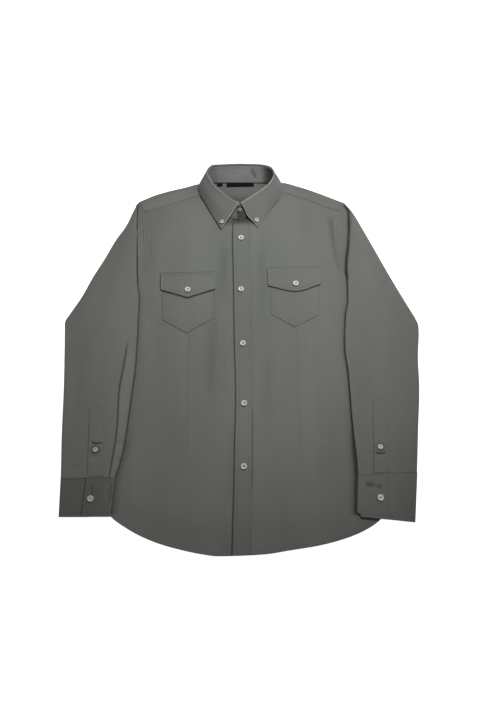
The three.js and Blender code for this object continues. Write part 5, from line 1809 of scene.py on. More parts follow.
# Each cuff's inner side, outer side, lap, button and how far its last corner is rounded.
CUFFS = {
    "left": (
        ((-230.9, -264.9), (-234.6, -334.1)), ((-329.8, -266.4), (-327.1, -334.1)), (-283.1, -287.0),
        (-271.8, -302.9), 0.0
    ),
    "right": (
        ((211.8, -260.6), (205.6, -334.5)), ((321.1, -254.4), (309.4, -343.3)), (265.6, 262.8),
        (249.5, -301.1), 7.0
    ),
}
CUFF_FOLDS = {
    "left": (
        Fold(((-273, -270), (-270, -292), (-268, -318)), -0.5, 4, 5, 0.25),
        Fold(((-236, -268), (-237, -292), (-238, -318)), -0.5, 3, 4, 0.25),
        Fold(((-262, -268), (-250, -300), (-246, -326)), 0.3, 5, 6, 0.25),
        Fold(((-296, -276), (-306, -300), (-300, -326)), 0.35, 5, 6, 0.25),
    ),
    "right": (
        Fold(((220, -275), (238, -279), (258, -283)), -0.75, 5.5, 5.5, 0.2),
        Fold(((205, -288), (214, -300), (223, -328)), 0.5, 5, 6, 0.25),
        Fold(((236, -262), (243, -274), (242, -290)), 0.3, 4, 4, 0.25),
        Fold(((282, -266), (296, -296), (292, -328)), 0.35, 5, 7, 0.25),
    ),
}

# How much painted shade darkens a whole cuff beyond the sleeve.
CUFF_SHADES = {"left": 0.30, "right": 0.0}


@dataclass
class Gauntlet:
    """The strip beside a sleeve's opening, pointed at its top."""

    sleeve: Sleeve
    outer: tuple[Row, Row]
    inner: tuple[Row, Row]
    button: Row
    cloth: float = 0.85
    edge_stitch: float = 1.8
    box: float = 26.0
    sheet: Sheet | None = None

    def build(self, shop: Shop) -> None:
        """Makes the strip, edge-stitched, with a box of stitches near its top.

        Args:
            shop: where finished pieces go.
        """
        side = self.sleeve.side
        peak = (mix(self.outer[0][0], self.inner[0][0], 0.5), max(self.outer[0][1], self.inner[0][1]) + 7)
        top = stepped([self.outer[0], peak, self.inner[0]])
        bottom = stepped([self.outer[1], self.inner[1]])
        across = with_knots(spaced(27, 1.5), [0.5])
        places = patch(stepped(self.outer), stepped(self.inner), top, bottom, spaced(128, 1.6), across)
        x, y = places[..., 0], places[..., 1]
        tops = np.stack([self.sleeve.top(side.sign * x[i], y[i, len(across) // 2]) for i in range(len(y))])
        sheet = laid(x, y, tops + CLOTH / 2 + 0.05 + self.cloth / 2, self.cloth)
        nearest = sheet.nearest("first_column", "last_column", "first_row")
        sheet.grid[..., 2] -= 0.2 * bump(nearest - self.edge_stitch, 0.8)
        sheet.grid[..., 2] -= 0.18 * bump(sheet.from_border("first_row") - self.box, 0.8)
        from_left = sheet.x - sheet.x.min(axis=1, keepdims=True)
        # Painted shade at the edges, along the left edge's shadow, in the troughs and round the button.
        sheet.wear_and_shading -= 0.1 * bump(nearest, 0.8) + 0.3 * bump(from_left, 0.9) * ease((-140 - sheet.y) / 30)
        sheet.wear_and_shading -= 0.9 * np.clip((-relief(self.sleeve.folds, sheet.x, sheet.y) - 0.4) / 0.5, 0, 1)
        around = np.hypot(sheet.x - self.button[0], sheet.y - self.button[1])
        sheet.wear_and_shading -= (0.5 if side.sign < 0 else 0.3) * bump(around - 6, 4)
        self.sheet = sheet
        name = "gauntlet_" + side.name
        obj = shop.cloth(name + "_cloth", sheet, "cloth")
        shop.wear(obj, name)
        inset = self.edge_stitch
        for border, end in (("first_column", 0), ("last_column", 0), ("first_row", inset)):
            shop.sew(sheet.line(border, inset, (inset, end)))
        box = sheet.line("first_row", self.box, (inset, inset))
        shop.sew(box)
        head = sheet.line("first_row", 4.5, (3, 3))
        shop.sew(np.linspace(head[0], box[-1], 14))
        shop.sew(np.linspace(head[-1], box[0], 14))


@dataclass
class Cuff:
    """A cuff: a band from its lap round the inner fold, under, round the outer fold and back."""

    sleeve: Sleeve
    inner: tuple[Row, Row]
    outer: tuple[Row, Row]
    lap: Row
    button: Row
    rounded: float
    folds: tuple[Fold, ...]
    shade: float
    under_lap: float = 22.0
    seam_stitches: Row = (1.8, 7.0)
    edge_stitch: float = 5.6
    cloth: float = 0.95
    sheet: Sheet | None = None

    def row(self, v: float) -> np.ndarray:
        """The control points round the cuff at a share v from its seam with the sleeve.

        Args:
            v: the share from the seam.

        Returns:
            Points by (x, y, z).
        """
        side = self.sleeve.side
        inner_x, inner_y = (float(mix(a, b, v)) for a, b in zip(*self.inner))
        outer_x, outer_y = (float(mix(a, b, v)) for a, b in zip(*self.outer))
        inner = side.sign * inner_x + self.rounded * float(ease((v - 0.86) / 0.14))
        outer = side.sign * outer_x
        lap = side.sign * mix(self.lap[0], self.lap[1], v)

        def y_at(out: float) -> float:
            """The row's place up the garment."""
            return mix(inner_y, outer_y, (out - inner) / (outer - inner))

        def under(out: float) -> float:
            """The middle of the lowest layer."""
            return float(self.sleeve.floor(out, y_at(out)))

        low = under(inner + TURN)
        fold_high = HALF + 2 * TURN

        def lower(out: float) -> float:
            """The height of the layer under the lap."""
            t = np.clip((outer - TURN - out) / (outer - lap), 0, 1)
            return max(float(mix(fold_high, low + LAYER + 0.3, ease(t))), under(out) + LAYER + MARGIN)

        def upper(out: float) -> float:
            """The height of the lap."""
            t = np.clip((lap - out) / (lap - inner), 0, 1)
            over = lower(max(out, lap - self.under_lap)) + LAYER + MARGIN - 0.2
            return max(over, low + 2 * TURN) + 0.5 * math.sin(math.pi * float(t))

        row = [(out, upper(out)) for out in np.linspace(lap, inner + TURN + 3, 6)]
        high = max(low + 2 * TURN, upper(inner + TURN + 3) - 0.3)
        row += [(inner + TURN, high), (inner + TURN * 0.3, mix(high, low, 0.15)), (inner, (low + high) / 2)]
        row += [(inner + TURN * 0.3, mix(high, low, 0.85)), (inner + TURN, low)]
        body = float(side.sign * side.body(np.float64(y_at(inner))))
        clear = min(max(body + 36, inner + 12), outer - 14)
        places = [mix(inner + 5, clear, t) for t in (0, 0.3, 0.55, 0.78, 1)] + [
            mix(clear, outer - 6, 0.5), outer - 6
        ]
        row += [(out, under(out)) for out in places]
        row += [(outer - TURN, HALF), (outer - TURN * 0.3, HALF + TURN * 0.3), (outer, HALF + TURN)]
        row += [(outer - TURN * 0.3, fold_high - TURN * 0.3), (outer - TURN, fold_high)]
        back = [mix(outer - TURN, lap - self.under_lap, t) for t in (0.15, 0.4, 0.7, 1)]
        row += [(out, lower(out)) for out in back]
        return np.array([(side.sign * out, y_at(out), z) for out, z in row])

    def build(self, shop: Shop) -> None:
        """Makes the cuff, stitched along its edges.

        Args:
            shop: where finished pieces go.
        """
        side = self.sleeve.side
        shares = spaced(74, 2.6)
        control = np.stack([self.row(float(v)) for v in shares])
        counts = steps_of(control, 2.4)
        counts[0] = counts[0] * 2
        grid = np.stack([chord(row, counts) for row in control])
        sheet = Sheet(grid, self.cloth)
        middle = grid.shape[1] // 12
        if sheet.normals()[10, middle, 2] < 0:
            sheet = sheet.turned()
        lap_border = "first_column" if sheet.grid[5, 0, 2] > sheet.grid[5, -1, 2] else "last_column"
        shown = sheet.normals()[..., 2] > 0.3
        (near, far), edge = self.seam_stitches, self.edge_stitch
        sheet.grid[..., 2] += shown * relief(self.folds, sheet.x, sheet.y)
        for border, inset in (("first_row", near), ("last_row", edge), (lap_border, edge)):
            sheet.grooved(border, inset, 0.2, 0.8)
            # Painted shade in the stitching's grooves.
            sheet.wear_and_shading -= 0.12 * bump(sheet.from_border(border) - inset, 0.7)
        # Painted shade along the lap's edge and the seam, in the troughs, and over the whole cuff by its
        # shade.
        lap_dark = 0.65 if side.sign < 0 else 0.3
        seam_dark = 0.12 if side.sign < 0 else 0.0
        sheet.wear_and_shading -= lap_dark * bump(sheet.from_border(lap_border), 1.0)
        sheet.wear_and_shading -= seam_dark * bump(sheet.from_border("first_row"), 0.9)
        trough = np.clip((-relief(self.folds, sheet.x, sheet.y) - 0.3) / 0.6, 0, 1)
        sheet.wear_and_shading -= 0.8 * trough + self.shade
        self.sheet = sheet
        name = "cuff_" + side.name
        obj = shop.cloth(name + "_cloth", sheet, "cloth")
        shop.wear(obj, name)
        shop.sew(sheet.line("first_row", near, (1, 1)))
        shop.sew(sheet.line("first_row", far, (1, 1)))
        shop.sew(sheet.line("last_row", edge, (edge, edge)))
        shop.sew(sheet.line(lap_border, edge, (near, edge)))
        shop.sew_piece(name + "_stitching")


@dataclass
class Collar:
    """The stand round the neck, and the leaf that folds over it."""

    leaf_cloth: float = 1.0
    stand_cloth: float = 0.95
    edge_stitch: float = 2.0
    leaf: Sheet | None = None
    stand: Sheet | None = None

    @staticmethod
    def between(a: Sequence[float], b: Sequence[float], t: float) -> np.ndarray:
        """The point at share t of the way from a to b."""
        return mix(np.asarray(a, float), np.asarray(b, float), t)

    @staticmethod
    def clear_of_front(point: np.ndarray) -> np.ndarray:
        """Keeps a point of the leaf above the fronts, where it lies over them.

        Args:
            point: in (x, y, z).

        Returns:
            The point, moved up if it has to be.
        """
        x, y, z = point
        lie = right_front_floor if x > BAND_RIGHT[0][0] else front_floor
        least = float(lie(np.float64(x), np.float64(y))) + LAYER + HALF + MARGIN - 0.1
        low = z - 1.1 if z < 9 else z
        return point if z < 5 or y > shoulder_at(x) else np.array([x, y, max(low, least)])

    def stand_row(self, seam: Sequence[float], fold: Sequence[float], short: float) -> list[np.ndarray]:
        """The stand's control points on one line, from its top to its seam.

        Args:
            seam: where it is sewn on.
            fold: its top, where the leaf folds over it.
            short: how far it ends below the fold.

        Returns:
            Four points.
        """
        length = math.dist(seam, fold)
        top = self.between(seam, fold, 1 - short / length)
        return [top, self.between(top, seam, 0.35), self.between(top, seam, 0.7), np.asarray(seam, float)]

    @staticmethod
    def shade_stand(stand: Sheet, inner: np.ndarray) -> None:
        """Paints the stand: a highlight along its top, and painted shade at its line of stitching, at its
        sides, in a crease, and between the leaf's ends.

        Args:
            stand: the stand.
            inner: each point's distance from the stand's top.
        """
        x, y = stand.x, stand.y
        stand.wear_and_shading += 0.4 * bump(inner, 0.9) - 0.3 * bump(inner - 6.5, 0.9)
        sides = 0.5 * ease((-42 - x) / 26) + 0.85 * ease((x - 36) / 24)
        crease = Fold(((20, 394), (26.5, 385), (33, 375)), 0.6, 2.2, 3.6, 0.3).at(x, y)
        stand.wear_and_shading -= np.maximum(sides, crease) * ease((y - 318) / 10)
        deepest = mix(-0.95, -0.5, ease((-6 - x) / 10))
        stand.wear_and_shading = mix(stand.wear_and_shading, deepest, ease((318 - y) / 10))

    def build(self, shop: Shop) -> None:
        """Makes the stand and the leaf.

        Args:
            shop: where finished pieces go.
        """
        rows = [self.stand_row(*s, 0) for s in STAND_UNDER]
        rows += [
            self.stand_row((*s.seam[:2], s.seam[2] - STAND_SUNK), s.fold, STAND_SHORT) for s in AROUND_NECK
        ]
        rows += [self.stand_row(*s, 0) for s in STAND_OVER]
        coarse = Sheet(np.array(rows), self.stand_cloth)
        coarse.raised(np.full(coarse.grid.shape[:2], STAND_SHIFT))
        control = coarse.grid
        self.stand = Sheet(dense(control, (2.6, 2.2)), self.stand_cloth)
        inner = self.stand.from_border("first_column")
        self.stand.raised(-0.18 * bump(inner - 6.5, 0.9))
        self.shade_stand(self.stand, inner)
        around = control[len(STAND_UNDER) : len(STAND_UNDER) + len(AROUND_NECK)]
        leaf_rows = []
        for k, station in enumerate((LEAF_LEFT, *AROUND_NECK, LEAF_RIGHT)):
            near = min(max(k - 1, 0), len(AROUND_NECK) - 1)
            top, below = around[near, 0], around[near, 1]
            fold = np.array(station.fold)
            move = fold - np.array(AROUND_NECK[near].fold)
            up = (top - below) / np.linalg.norm(top - below)
            crest = mix(top + move, fold, 0.5) + up * 1.25
            outside = [fold, self.between(fold, station.bend, 0.35), self.between(fold, station.bend, 0.7)]
            outside += [
                np.array(station.bend, float), self.between(station.bend, station.edge, 0.5),
                np.array(station.edge, float)
            ]
            hidden = [top + move - up * 2.2, top + move + up * 0.5, crest]
            leaf_rows.append([*hidden, *[self.clear_of_front(p) for p in outside]])
        self.leaf = Sheet(dense(np.array(leaf_rows), (2.4, 2.2)), self.leaf_cloth)
        borders = ("first_row", "last_row", "last_column")
        nearest = self.leaf.nearest(*borders)
        self.leaf.raised(-0.16 * bump(nearest - self.edge_stitch, 0.8))
        # Painted highlights along the leaf's edges and its fold's crest, and painted shade in its edge
        # stitching.
        self.leaf.wear_and_shading += 0.9 * bump(nearest, 0.9) - 0.2 * bump(nearest - self.edge_stitch, 0.7)
        for border in ("first_row", "last_row"):
            self.leaf.wear_and_shading += 0.9 * bump(self.leaf.from_border(border) - 0.9, 1.3)
        in_front = ease((372 - self.leaf.y) / 10)
        on_right = ease((self.leaf.x - COLLAR_MIDDLE) / 4)
        crest = bump(self.leaf.from_border("first_column") - mix(4.4, 5.6, on_right), mix(1.5, 2.0, on_right))
        self.leaf.wear_and_shading += mix(0.5, 1.5, in_front) * crest
        stand = shop.cloth("collar_stand_cloth", self.stand, "stand")
        leaf = shop.cloth("collar_leaf_cloth", self.leaf, "collar")
        shop.wear(stand, "collar_stand", slot="collar")
        shop.wear(leaf, "collar_leaf", slot="collar")
        for border in borders:
            ends = (0, self.edge_stitch) if border != "last_column" else (self.edge_stitch,) * 2
            shop.sew(self.leaf.line(border, self.edge_stitch, ends))
        shop.sew_piece("collar_stitching")


@dataclass
class Labels:
    """Two bare labels, sewn inside the neck on the yoke."""

    places: tuple[tuple[str, Row, Row], ...] = (
        ("label_neck", (-32.0, 366.0), (26.5, 356.8)),
        ("label_size", (-52.6, 366.0), (-40.4, 358.8)),
    )
    cloth: float = 0.45
    stitch: float = 1.2
    high: float = 10.5

    def build(self, shop: Shop) -> None:
        """Makes both labels, lying on the yoke with their ends stitched down."""
        for name, start, end in self.places:
            v, u = spaced(9, 0.8)[:, None], spaced(abs(end[0] - start[0]), 1.6)[None, :]
            x = mix(start[0], end[0], u) + 0 * v
            y = mix(start[1], end[1], v) + 2.4 + 0.022 * x
            wave = 0.15 * np.sin(u * math.pi * 3) * ease((v - 0.1) / 0.5)
            sheet = laid(x, y, neck_lift(x, y) + HALF + CLOTH / 2 + 0.3 + wave, self.cloth)
            obj = shop.cloth(name + "_cloth", sheet, "label")
            shop.wear(obj, name, slot="label")
            for border in ("first_column", "last_column"):
                shop.sew(sheet.line(border, self.stitch, (0.8, 0.8)))


def tube(points: np.ndarray, radius: float, sides: int = 6) -> tuple[np.ndarray, np.ndarray]:
    """A closed tube along a few points, as points and quads.

    Args:
        points: the middle line.
        radius: in the same unit.
        sides: faces round it.

    Returns:
        Points and faces.
    """
    along = np.gradient(points, axis=0)
    along /= np.linalg.norm(along, axis=1, keepdims=True)
    side = np.cross(along, [0.31, 0.83, 0.46])
    side /= np.linalg.norm(side, axis=1, keepdims=True)
    up = np.cross(along, side)
    angle = np.arange(sides) / sides * 2 * math.pi
    ring = np.cos(angle)[None, :, None] * side[:, None] + np.sin(angle)[None, :, None] * up[:, None]
    rings = points[:, None] + ring * radius
    quads = []
    for i in range(len(points) - 1):
        for k in range(sides):
            n = (k + 1) % sides
            quads.append([i * sides + k, i * sides + n, (i + 1) * sides + n, (i + 1) * sides + k])
    last = (len(points) - 1) * sides
    quads += [[0, k + 1, k, k] for k in range(1, sides - 1)]
    quads += [[last, last + k, last + k + 1, last + k + 1] for k in range(1, sides - 1)]
    return rings.reshape(-1, 3), np.array(quads)


def ring(radius: float, z: float, count: int, middle: Row = (0.0, 0.0)) -> list[tuple[float, float, float]]:
    """Points round a level circle."""
    turns = [k / count * math.tau for k in range(count)]
    return [(middle[0] + radius * math.cos(t), middle[1] + radius * math.sin(t), z) for t in turns]


def drum(rings: int, count: int, start: int = 0) -> list[list[int]]:
    """The faces of a closed drum through rings of points, numbered from a start.

    Args:
        rings: how many circles of points there are.
        count: points in a circle.
        start: the first point's number.

    Returns:
        Point numbers of each face.
    """
    faces = []
    for low in range(start, start + (rings - 1) * count, count):
        high = low + count
        faces += [[low + k, low + (k + 1) % count, high + (k + 1) % count, high + k] for k in range(count)]
    last = start + (rings - 1) * count
    return [*faces, [start + k for k in range(count)][::-1], [last + k for k in range(count)]]


@dataclass(frozen=True)
class ButtonSize:
    """A button's width and thickness."""

    across: float
    thick: float


class ButtonKind(Enum):
    """The garment's buttons."""

    FRONT = ButtonSize(11.4, 2.3)
    SLEEVE = ButtonSize(9.2, 2.0)
    COLLAR = ButtonSize(8.8, 1.9)


# How much painted shade darkens a button beyond the others, as the stand's in the collar's shadow, or how
# much a painted highlight lightens it where the number is negative.
BUTTON_SHADES = {"button_stand": 0.8, "button_gauntlet_right": -1.0, "button_cuff_right": -1.2}


@dataclass
class Buttons:
    """Four-hole buttons with a raised rim, each sewn on by two bars of thread, and their buttonholes.

    The profile below is (inset from the rim, height), and the one above (inset, drop from the top).
    """

    sides: int = 40
    hole: float = 0.82
    hole_sides: int = 14
    spread: float = 1.45
    thread: float = 0.26
    beside: float = 0.24
    room: float = 0.25
    shank: float = 1.9
    discs: dict[ButtonKind, Shape] = field(default_factory=dict)
    below: tuple[Row, ...] = ((1.6, 0.0), (0.6, 0.1), (0.15, 0.45), (0.0, 0.95))
    above: tuple[Row, ...] = (
        (0.08, 0.55), (0.4, 0.15), (0.85, 0), (1.3, 0.05), (1.75, 0.22), (2.2, 0.36), (2.8, 0.4)
    )
    rise: tuple[Row, ...] = ((-0.2, 0.0), (-0.05, 0.5), (0.0, 0.78), (0.35, 1.0), (0.5, 1.04))

    def disc(self, size: ButtonSize) -> Shape:
        """The button's body at the origin, with four holes through it.

        Args:
            size: the button's size.

        Returns:
            Points and faces.
        """
        radius = size.across / 2
        profile = [(radius - inset, z) for inset, z in self.below]
        profile += [(radius - inset, size.thick - drop) for inset, drop in self.above]
        points = [p for far, z in profile for p in ring(far, z, self.sides)]
        obj = linked("button_disc", points, [], drum(len(profile), self.sides))
        points, faces = [], []
        for sx, sy in ((1, 1), (1, -1), (-1, 1), (-1, -1)):
            faces += drum(2, self.hole_sides, len(points))
            for z in (-1, size.thick + 1):
                points += ring(self.hole, z, self.hole_sides, (sx * self.spread, sy * self.spread))
        drill = linked("button_drill", points, [], faces)
        cut = obj.modifiers.new("holes", "BOOLEAN")
        cut.object, cut.operation, cut.solver = drill, "DIFFERENCE", "EXACT"
        made = taken_apart(baked(obj))
        bpy.data.objects.remove(drill)
        return made

    def threads(self, thick: float) -> list[Shape]:
        """The bars of thread through the holes of a button, and the shank under it.

        Args:
            thick: the button's thickness.

        Returns:
            Each tube's points and faces.
        """
        bars = []
        for x in (
            mid + shift for mid in (-self.spread, self.spread) for shift in (-self.beside, self.beside)
        ):
            heights = [mix(-self.room - 0.3, thick - 0.5, z) for _, z in self.rise]
            half = np.array([(x, -self.spread + y * self.spread, z) for (y, _), z in zip(self.rise, heights)])
            bars.append(tube(np.concatenate([half, half[::-1][1:] * [1, -1, 1]]), self.thread))
        return [*bars, tube(np.array([(0, 0, -self.room - 0.2), (0, 0, 0.1)]), self.shank, 10)]

    def place(self, shop: Shop, node: str, kind: ButtonKind, sheet: Sheet, at: Row, turn: float) -> None:
        """Sews a button on, square to the cloth.

        Args:
            shop: where finishes are.
            node: the frame's node that it stands for.
            kind: which button.
            sheet: the cloth that it is sewn to.
            at: its place there.
            turn: how far its holes are turned, in degrees.
        """
        foot, normal = self.spot(sheet, at)
        disc, threads = self.discs[kind], self.threads(kind.value.thick)
        points, faces = merged([disc, *threads])
        square = Vector(normal).to_track_quat("Z", "Y").to_matrix()
        frame = np.array(square @ Matrix.Rotation(math.radians(turn), 3, "Z"))
        obj = shop.mesh_object(node + "_piece", points @ frame.T + foot + normal * self.room, faces, "button")
        obj.data.materials.append(shop.finishes["thread"])
        obj.data.polygons.foreach_set("material_index", [int(k >= len(disc[1])) for k in range(len(faces))])
        # This button's painted light and shade, as its attribute.
        shade = np.full(len(obj.data.vertices), -BUTTON_SHADES.get(node, 0.0), np.float32)
        obj.data.attributes.new("wear_and_shading", "FLOAT", "POINT").data.foreach_set("value", shade)
        shop.wear(obj, node, slot="button")

    def hole_line(self, sheet: Sheet, at: Row, along: Row, half: float) -> np.ndarray:
        """The oval line round a buttonhole, on a sheet's face.

        Args:
            sheet: the cloth.
            at: the place, in (x, y).
            along: the buttonhole's direction.
            half: half its length.

        Returns:
            Points by (x, y, z).
        """
        angle = np.linspace(0, math.tau, 33)
        dx, dy = np.array(along) / math.hypot(*along)
        far = np.clip(np.cos(angle) * half * 1.5, -half, half)
        beside = np.sin(angle) * 0.95
        places = [(at[0] + f * dx - b * dy, at[1] + f * dy + b * dx) for f, b in zip(far, beside)]
        return np.array([self.spot(sheet, p)[0] + [0, 0, 0.05] for p in places])

    @staticmethod
    def spot(sheet: Sheet, at: Row) -> tuple[np.ndarray, np.ndarray]:
        """The highest place of a sheet's outer face over a point, and the normal there.

        Args:
            sheet: the cloth.
            at: the place, in (x, y).

        Returns:
            The place and the normal.
        """
        face, normals = sheet.outside().reshape(-1, 3), sheet.normals().reshape(-1, 3)
        far = np.hypot(face[:, 0] - at[0], face[:, 1] - at[1]) + 1e3 * (normals[:, 2] < 0.15)
        near = np.argsort(far)[:24]
        top = near[face[near, 2] > face[near, 2].max() - 1.6][:6]
        weight = 1 / (far[top] + 0.05)
        weight /= weight.sum()
        normal = (normals[top] * weight[:, None]).sum(axis=0)
        normal /= np.linalg.norm(normal)
        mean = (face[top] * weight[:, None]).sum(axis=0)
        slope = -(normal[:2] @ (np.array(at) - mean[:2])) / normal[2]
        return np.array([at[0], at[1], mean[2] + slope]), normal

    def build(self, shop: Shop, jobs: Sequence[tuple[str, ButtonKind, Sheet, Row, Row]]) -> None:
        """Sews on all the buttons, and their buttonholes.

        Args:
            shop: where the pieces go.
            jobs: each button's name, kind, cloth and place, and the direction of its buttonhole.
        """
        self.discs = {kind: self.disc(kind.value) for kind in ButtonKind}
        for k, (name, kind, sheet, at, along) in enumerate(jobs):
            self.place(shop, "button_" + name, kind, sheet, at, 12 + 67 * k)
            shop.sew(self.hole_line(sheet, at, along, kind.value.across / 2 + 1.6), Thread.BUTTONHOLE)
        shop.sew_piece("buttonholes")


def link(
    tree: bpy.types.NodeTree, kind: str, inputs: dict | None = None, **settings: object
) -> bpy.types.Node:
    """Adds a node to a tree.

    Args:
        tree: where it goes.
        kind: its type.
        inputs: a value, or an output socket to join, for each input by name or number.
        settings: its own settings.

    Returns:
        The node.
    """
    node = tree.nodes.new(kind)
    for name, value in settings.items():
        setattr(node, name, value)
    for name, value in (inputs or {}).items():
        if isinstance(value, bpy.types.NodeSocket):
            tree.links.new(value, node.inputs[name])
        else:
            node.inputs[name].default_value = value
    return node


def calc(
    tree: bpy.types.NodeTree, operation: str, *values: float | bpy.types.NodeSocket
) -> bpy.types.NodeSocket:
    """The result of a Math node on one to three values or sockets."""
    return link(tree, "ShaderNodeMath", dict(enumerate(values)), operation=operation).outputs[0]


def blend(tree: bpy.types.NodeTree, share: bpy.types.NodeSocket, a: Paint, b: Paint) -> bpy.types.NodeSocket:
    """A colour at a share of the way from a to b."""
    node = link(tree, "ShaderNodeMix", {0: share, 6: a, 7: b}, data_type="RGBA")
    return node.outputs[2]


def spread(
    tree: bpy.types.NodeTree, value: float | bpy.types.NodeSocket, low: float, high: float, *to: float
) -> bpy.types.NodeSocket:
    """A value taken from one range to another, or to 0 and 1, and held inside it."""
    to_low, to_high = to or (0.0, 1.0)
    return link(tree, "ShaderNodeMapRange", {0: value, 1: low, 2: high, 3: to_low, 4: to_high}).outputs[0]


def noise(
    tree: bpy.types.NodeTree, place: bpy.types.NodeSocket, scale: float | bpy.types.NodeSocket, detail: float
) -> bpy.types.NodeSocket:
    """A noise texture's value at a place."""
    return link(tree, "ShaderNodeTexNoise", {"Vector": place, "Scale": scale, "Detail": detail}).outputs[0]


def new_group(
    name: str, inputs: dict[str, float], outputs: Sequence[str]
) -> tuple[bpy.types.NodeTree, bpy.types.Node]:
    """A shader group with named number inputs and outputs.

    Args:
        name: the group's name.
        inputs: each input's name and usual value.
        outputs: the outputs' names.

    Returns:
        The tree and its input node.
    """
    tree = bpy.data.node_groups.new(name, "ShaderNodeTree")
    for key, value in inputs.items():
        tree.interface.new_socket(key, in_out="INPUT", socket_type="NodeSocketFloat").default_value = value
    for key in outputs:
        tree.interface.new_socket(key, in_out="OUTPUT", socket_type="NodeSocketFloat")
    return tree, tree.nodes.new("NodeGroupInput")


def weave_group() -> bpy.types.NodeTree:
    """A plain weave that follows the cloth: yarns over and under, uneven in thickness."""
    tree, given = new_group("weave", {"Yarns per metre": 2200.0}, ["Height", "Slub"])
    uv = link(tree, "ShaderNodeUVMap", uv_map="cloth").outputs[0]
    parts = link(tree, "ShaderNodeSeparateXYZ", {0: uv}).outputs
    turns = calc(tree, "MULTIPLY", given.outputs[0], math.pi)
    over, under = (calc(tree, "SINE", calc(tree, "MULTIPLY", parts[k], turns)) for k in (0, 1))
    slubs = []
    for stretch in ((60.0, 1500.0, 1.0), (1500.0, 60.0, 1.0)):
        slubs.append(noise(tree, link(tree, "ShaderNodeMapping", {0: uv, 3: stretch}).outputs[0], 1.0, 1.0))
    both = calc(tree, "MULTIPLY", calc(tree, "ADD", *slubs), 0.5)
    height = calc(tree, "MULTIPLY_ADD", calc(tree, "MULTIPLY", over, under), 0.5, 0.5)
    link(tree, "NodeGroupOutput", {"Height": height, "Slub": both})
    return tree


def mottle_group() -> bpy.types.NodeTree:
    """Soft uneven patches, as washed cloth has, small flecks, and how far a place is from the chest."""
    given_values = {"Patches": 9.0, "Flecks": 160.0, "Across": 1.0, "Along": 1.0}
    tree, given = new_group("mottle", given_values, ["Patch", "Fleck", "Far"])
    place = link(tree, "ShaderNodeTexCoord").outputs["Object"]
    away = link(tree, "ShaderNodeVectorMath", {0: place, 1: (0.0, 0.15, 0.0)}, operation="DISTANCE")
    parts = link(tree, "ShaderNodeSeparateXYZ", {0: place}).outputs
    x, y = (calc(tree, "MULTIPLY", parts[k], given.outputs[2 + k]) for k in (0, 1))
    place = link(tree, "ShaderNodeCombineXYZ", {0: x, 1: y, 2: parts[2]}).outputs[0]
    outputs = {"Far": spread(tree, away.outputs["Value"], 0.06, 0.33)}
    for k, (name, detail, rough) in enumerate((("Patch", 3.0, 0.55), ("Fleck", 2.0, 0.6))):
        inputs = {"Vector": place, "Scale": given.outputs[k], "Detail": detail, "Roughness": rough}
        outputs[name] = link(tree, "ShaderNodeTexNoise", inputs).outputs[0]
    link(tree, "NodeGroupOutput", outputs)
    return tree


def wear_and_light_group() -> bpy.types.NodeTree:
    """Where edges and folds are painted lighter, for wear and as painted highlights, and where painted shade
    darkens creases, recesses and cast shadows, broken up a little along the line.
    """
    tree, given = new_group("wear_and_light", {"Amount": 1.0}, ["Mask", "Painted shade"])
    wear_and_shading = link(tree, "ShaderNodeAttribute", attribute_name="wear_and_shading").outputs["Fac"]
    grain = noise(tree, link(tree, "ShaderNodeTexCoord").outputs["Object"], 230.0, 2.0)
    lighter_wear_and_highlight = calc(tree, "MULTIPLY", wear_and_shading, spread(tree, grain, 0.3, 0.65, 0.25, 1.0))
    mask = calc(tree, "MULTIPLY", lighter_wear_and_highlight, given.outputs[0])
    # Painted shade: the part of the attribute below 0, broken up by grain.
    darker = calc(tree, "MULTIPLY", wear_and_shading, -1.0)
    crease = calc(tree, "MULTIPLY", darker, spread(tree, grain, 0.2, 0.5, 0.7, 1.0))
    link(
        tree, "NodeGroupOutput",
        {"Mask": spread(tree, mask, 0.0, 1.0), "Painted shade": spread(tree, crease, 0.0, 1.0)}
    )
    return tree


Colour = tuple[float, float, float]
Begun = tuple[bpy.types.NodeTree, bpy.types.Node, dict, bpy.types.Material]


@dataclass(frozen=True)
class Groups:
    """The shader groups that the finishes share."""

    weave: bpy.types.NodeTree
    mottle: bpy.types.NodeTree
    wear_and_light: bpy.types.NodeTree


def use(tree: bpy.types.NodeTree, group: bpy.types.NodeTree, **values: float) -> bpy.types.Node:
    """Places a shared group in a material.

    Args:
        tree: where it goes.
        group: the shared group.
        values: its inputs' values.

    Returns:
        The group's node.
    """
    node = tree.nodes.new("ShaderNodeGroup")
    node.node_tree = group
    for key, value in values.items():
        node.inputs[key.replace("_", " ")].default_value = value
    return node


@dataclass(frozen=True)
class Finish:
    """A material that wavers between two shades."""

    name: str
    dark: Colour
    light: Colour

    def begun(self, groups: Groups, rough: Row, **values: float) -> Begun:
        """Starts the material, with its mottled shades and its roughness.

        Args:
            groups: the shared groups.
            rough: the lowest and the highest roughness.
            values: the mottle's own.

        Returns:
            The tree, the shader, the mottle and the material.
        """
        material = bpy.data.materials.new(self.name)
        material.use_nodes = True
        tree = material.node_tree
        shader = tree.nodes["Principled BSDF"]
        mottle = use(tree, groups.mottle, **values).outputs
        tree.links.new(spread(tree, mottle["Fleck"], 0.3, 0.7, *rough), shader.inputs["Roughness"])
        return tree, shader, mottle, material

    @staticmethod
    def finished(
        tree: bpy.types.NodeTree,
        shader: bpy.types.Node,
        base: bpy.types.NodeSocket,
        height: bpy.types.NodeSocket,
        strength: float,
        distance: float,
    ) -> None:
        """Joins the colour and a bump from a height to the shader."""
        tree.links.new(base, shader.inputs["Base Color"])
        bumped = link(tree, "ShaderNodeBump", {"Height": height, "Strength": strength, "Distance": distance})
        tree.links.new(bumped.outputs[0], shader.inputs["Normal"])


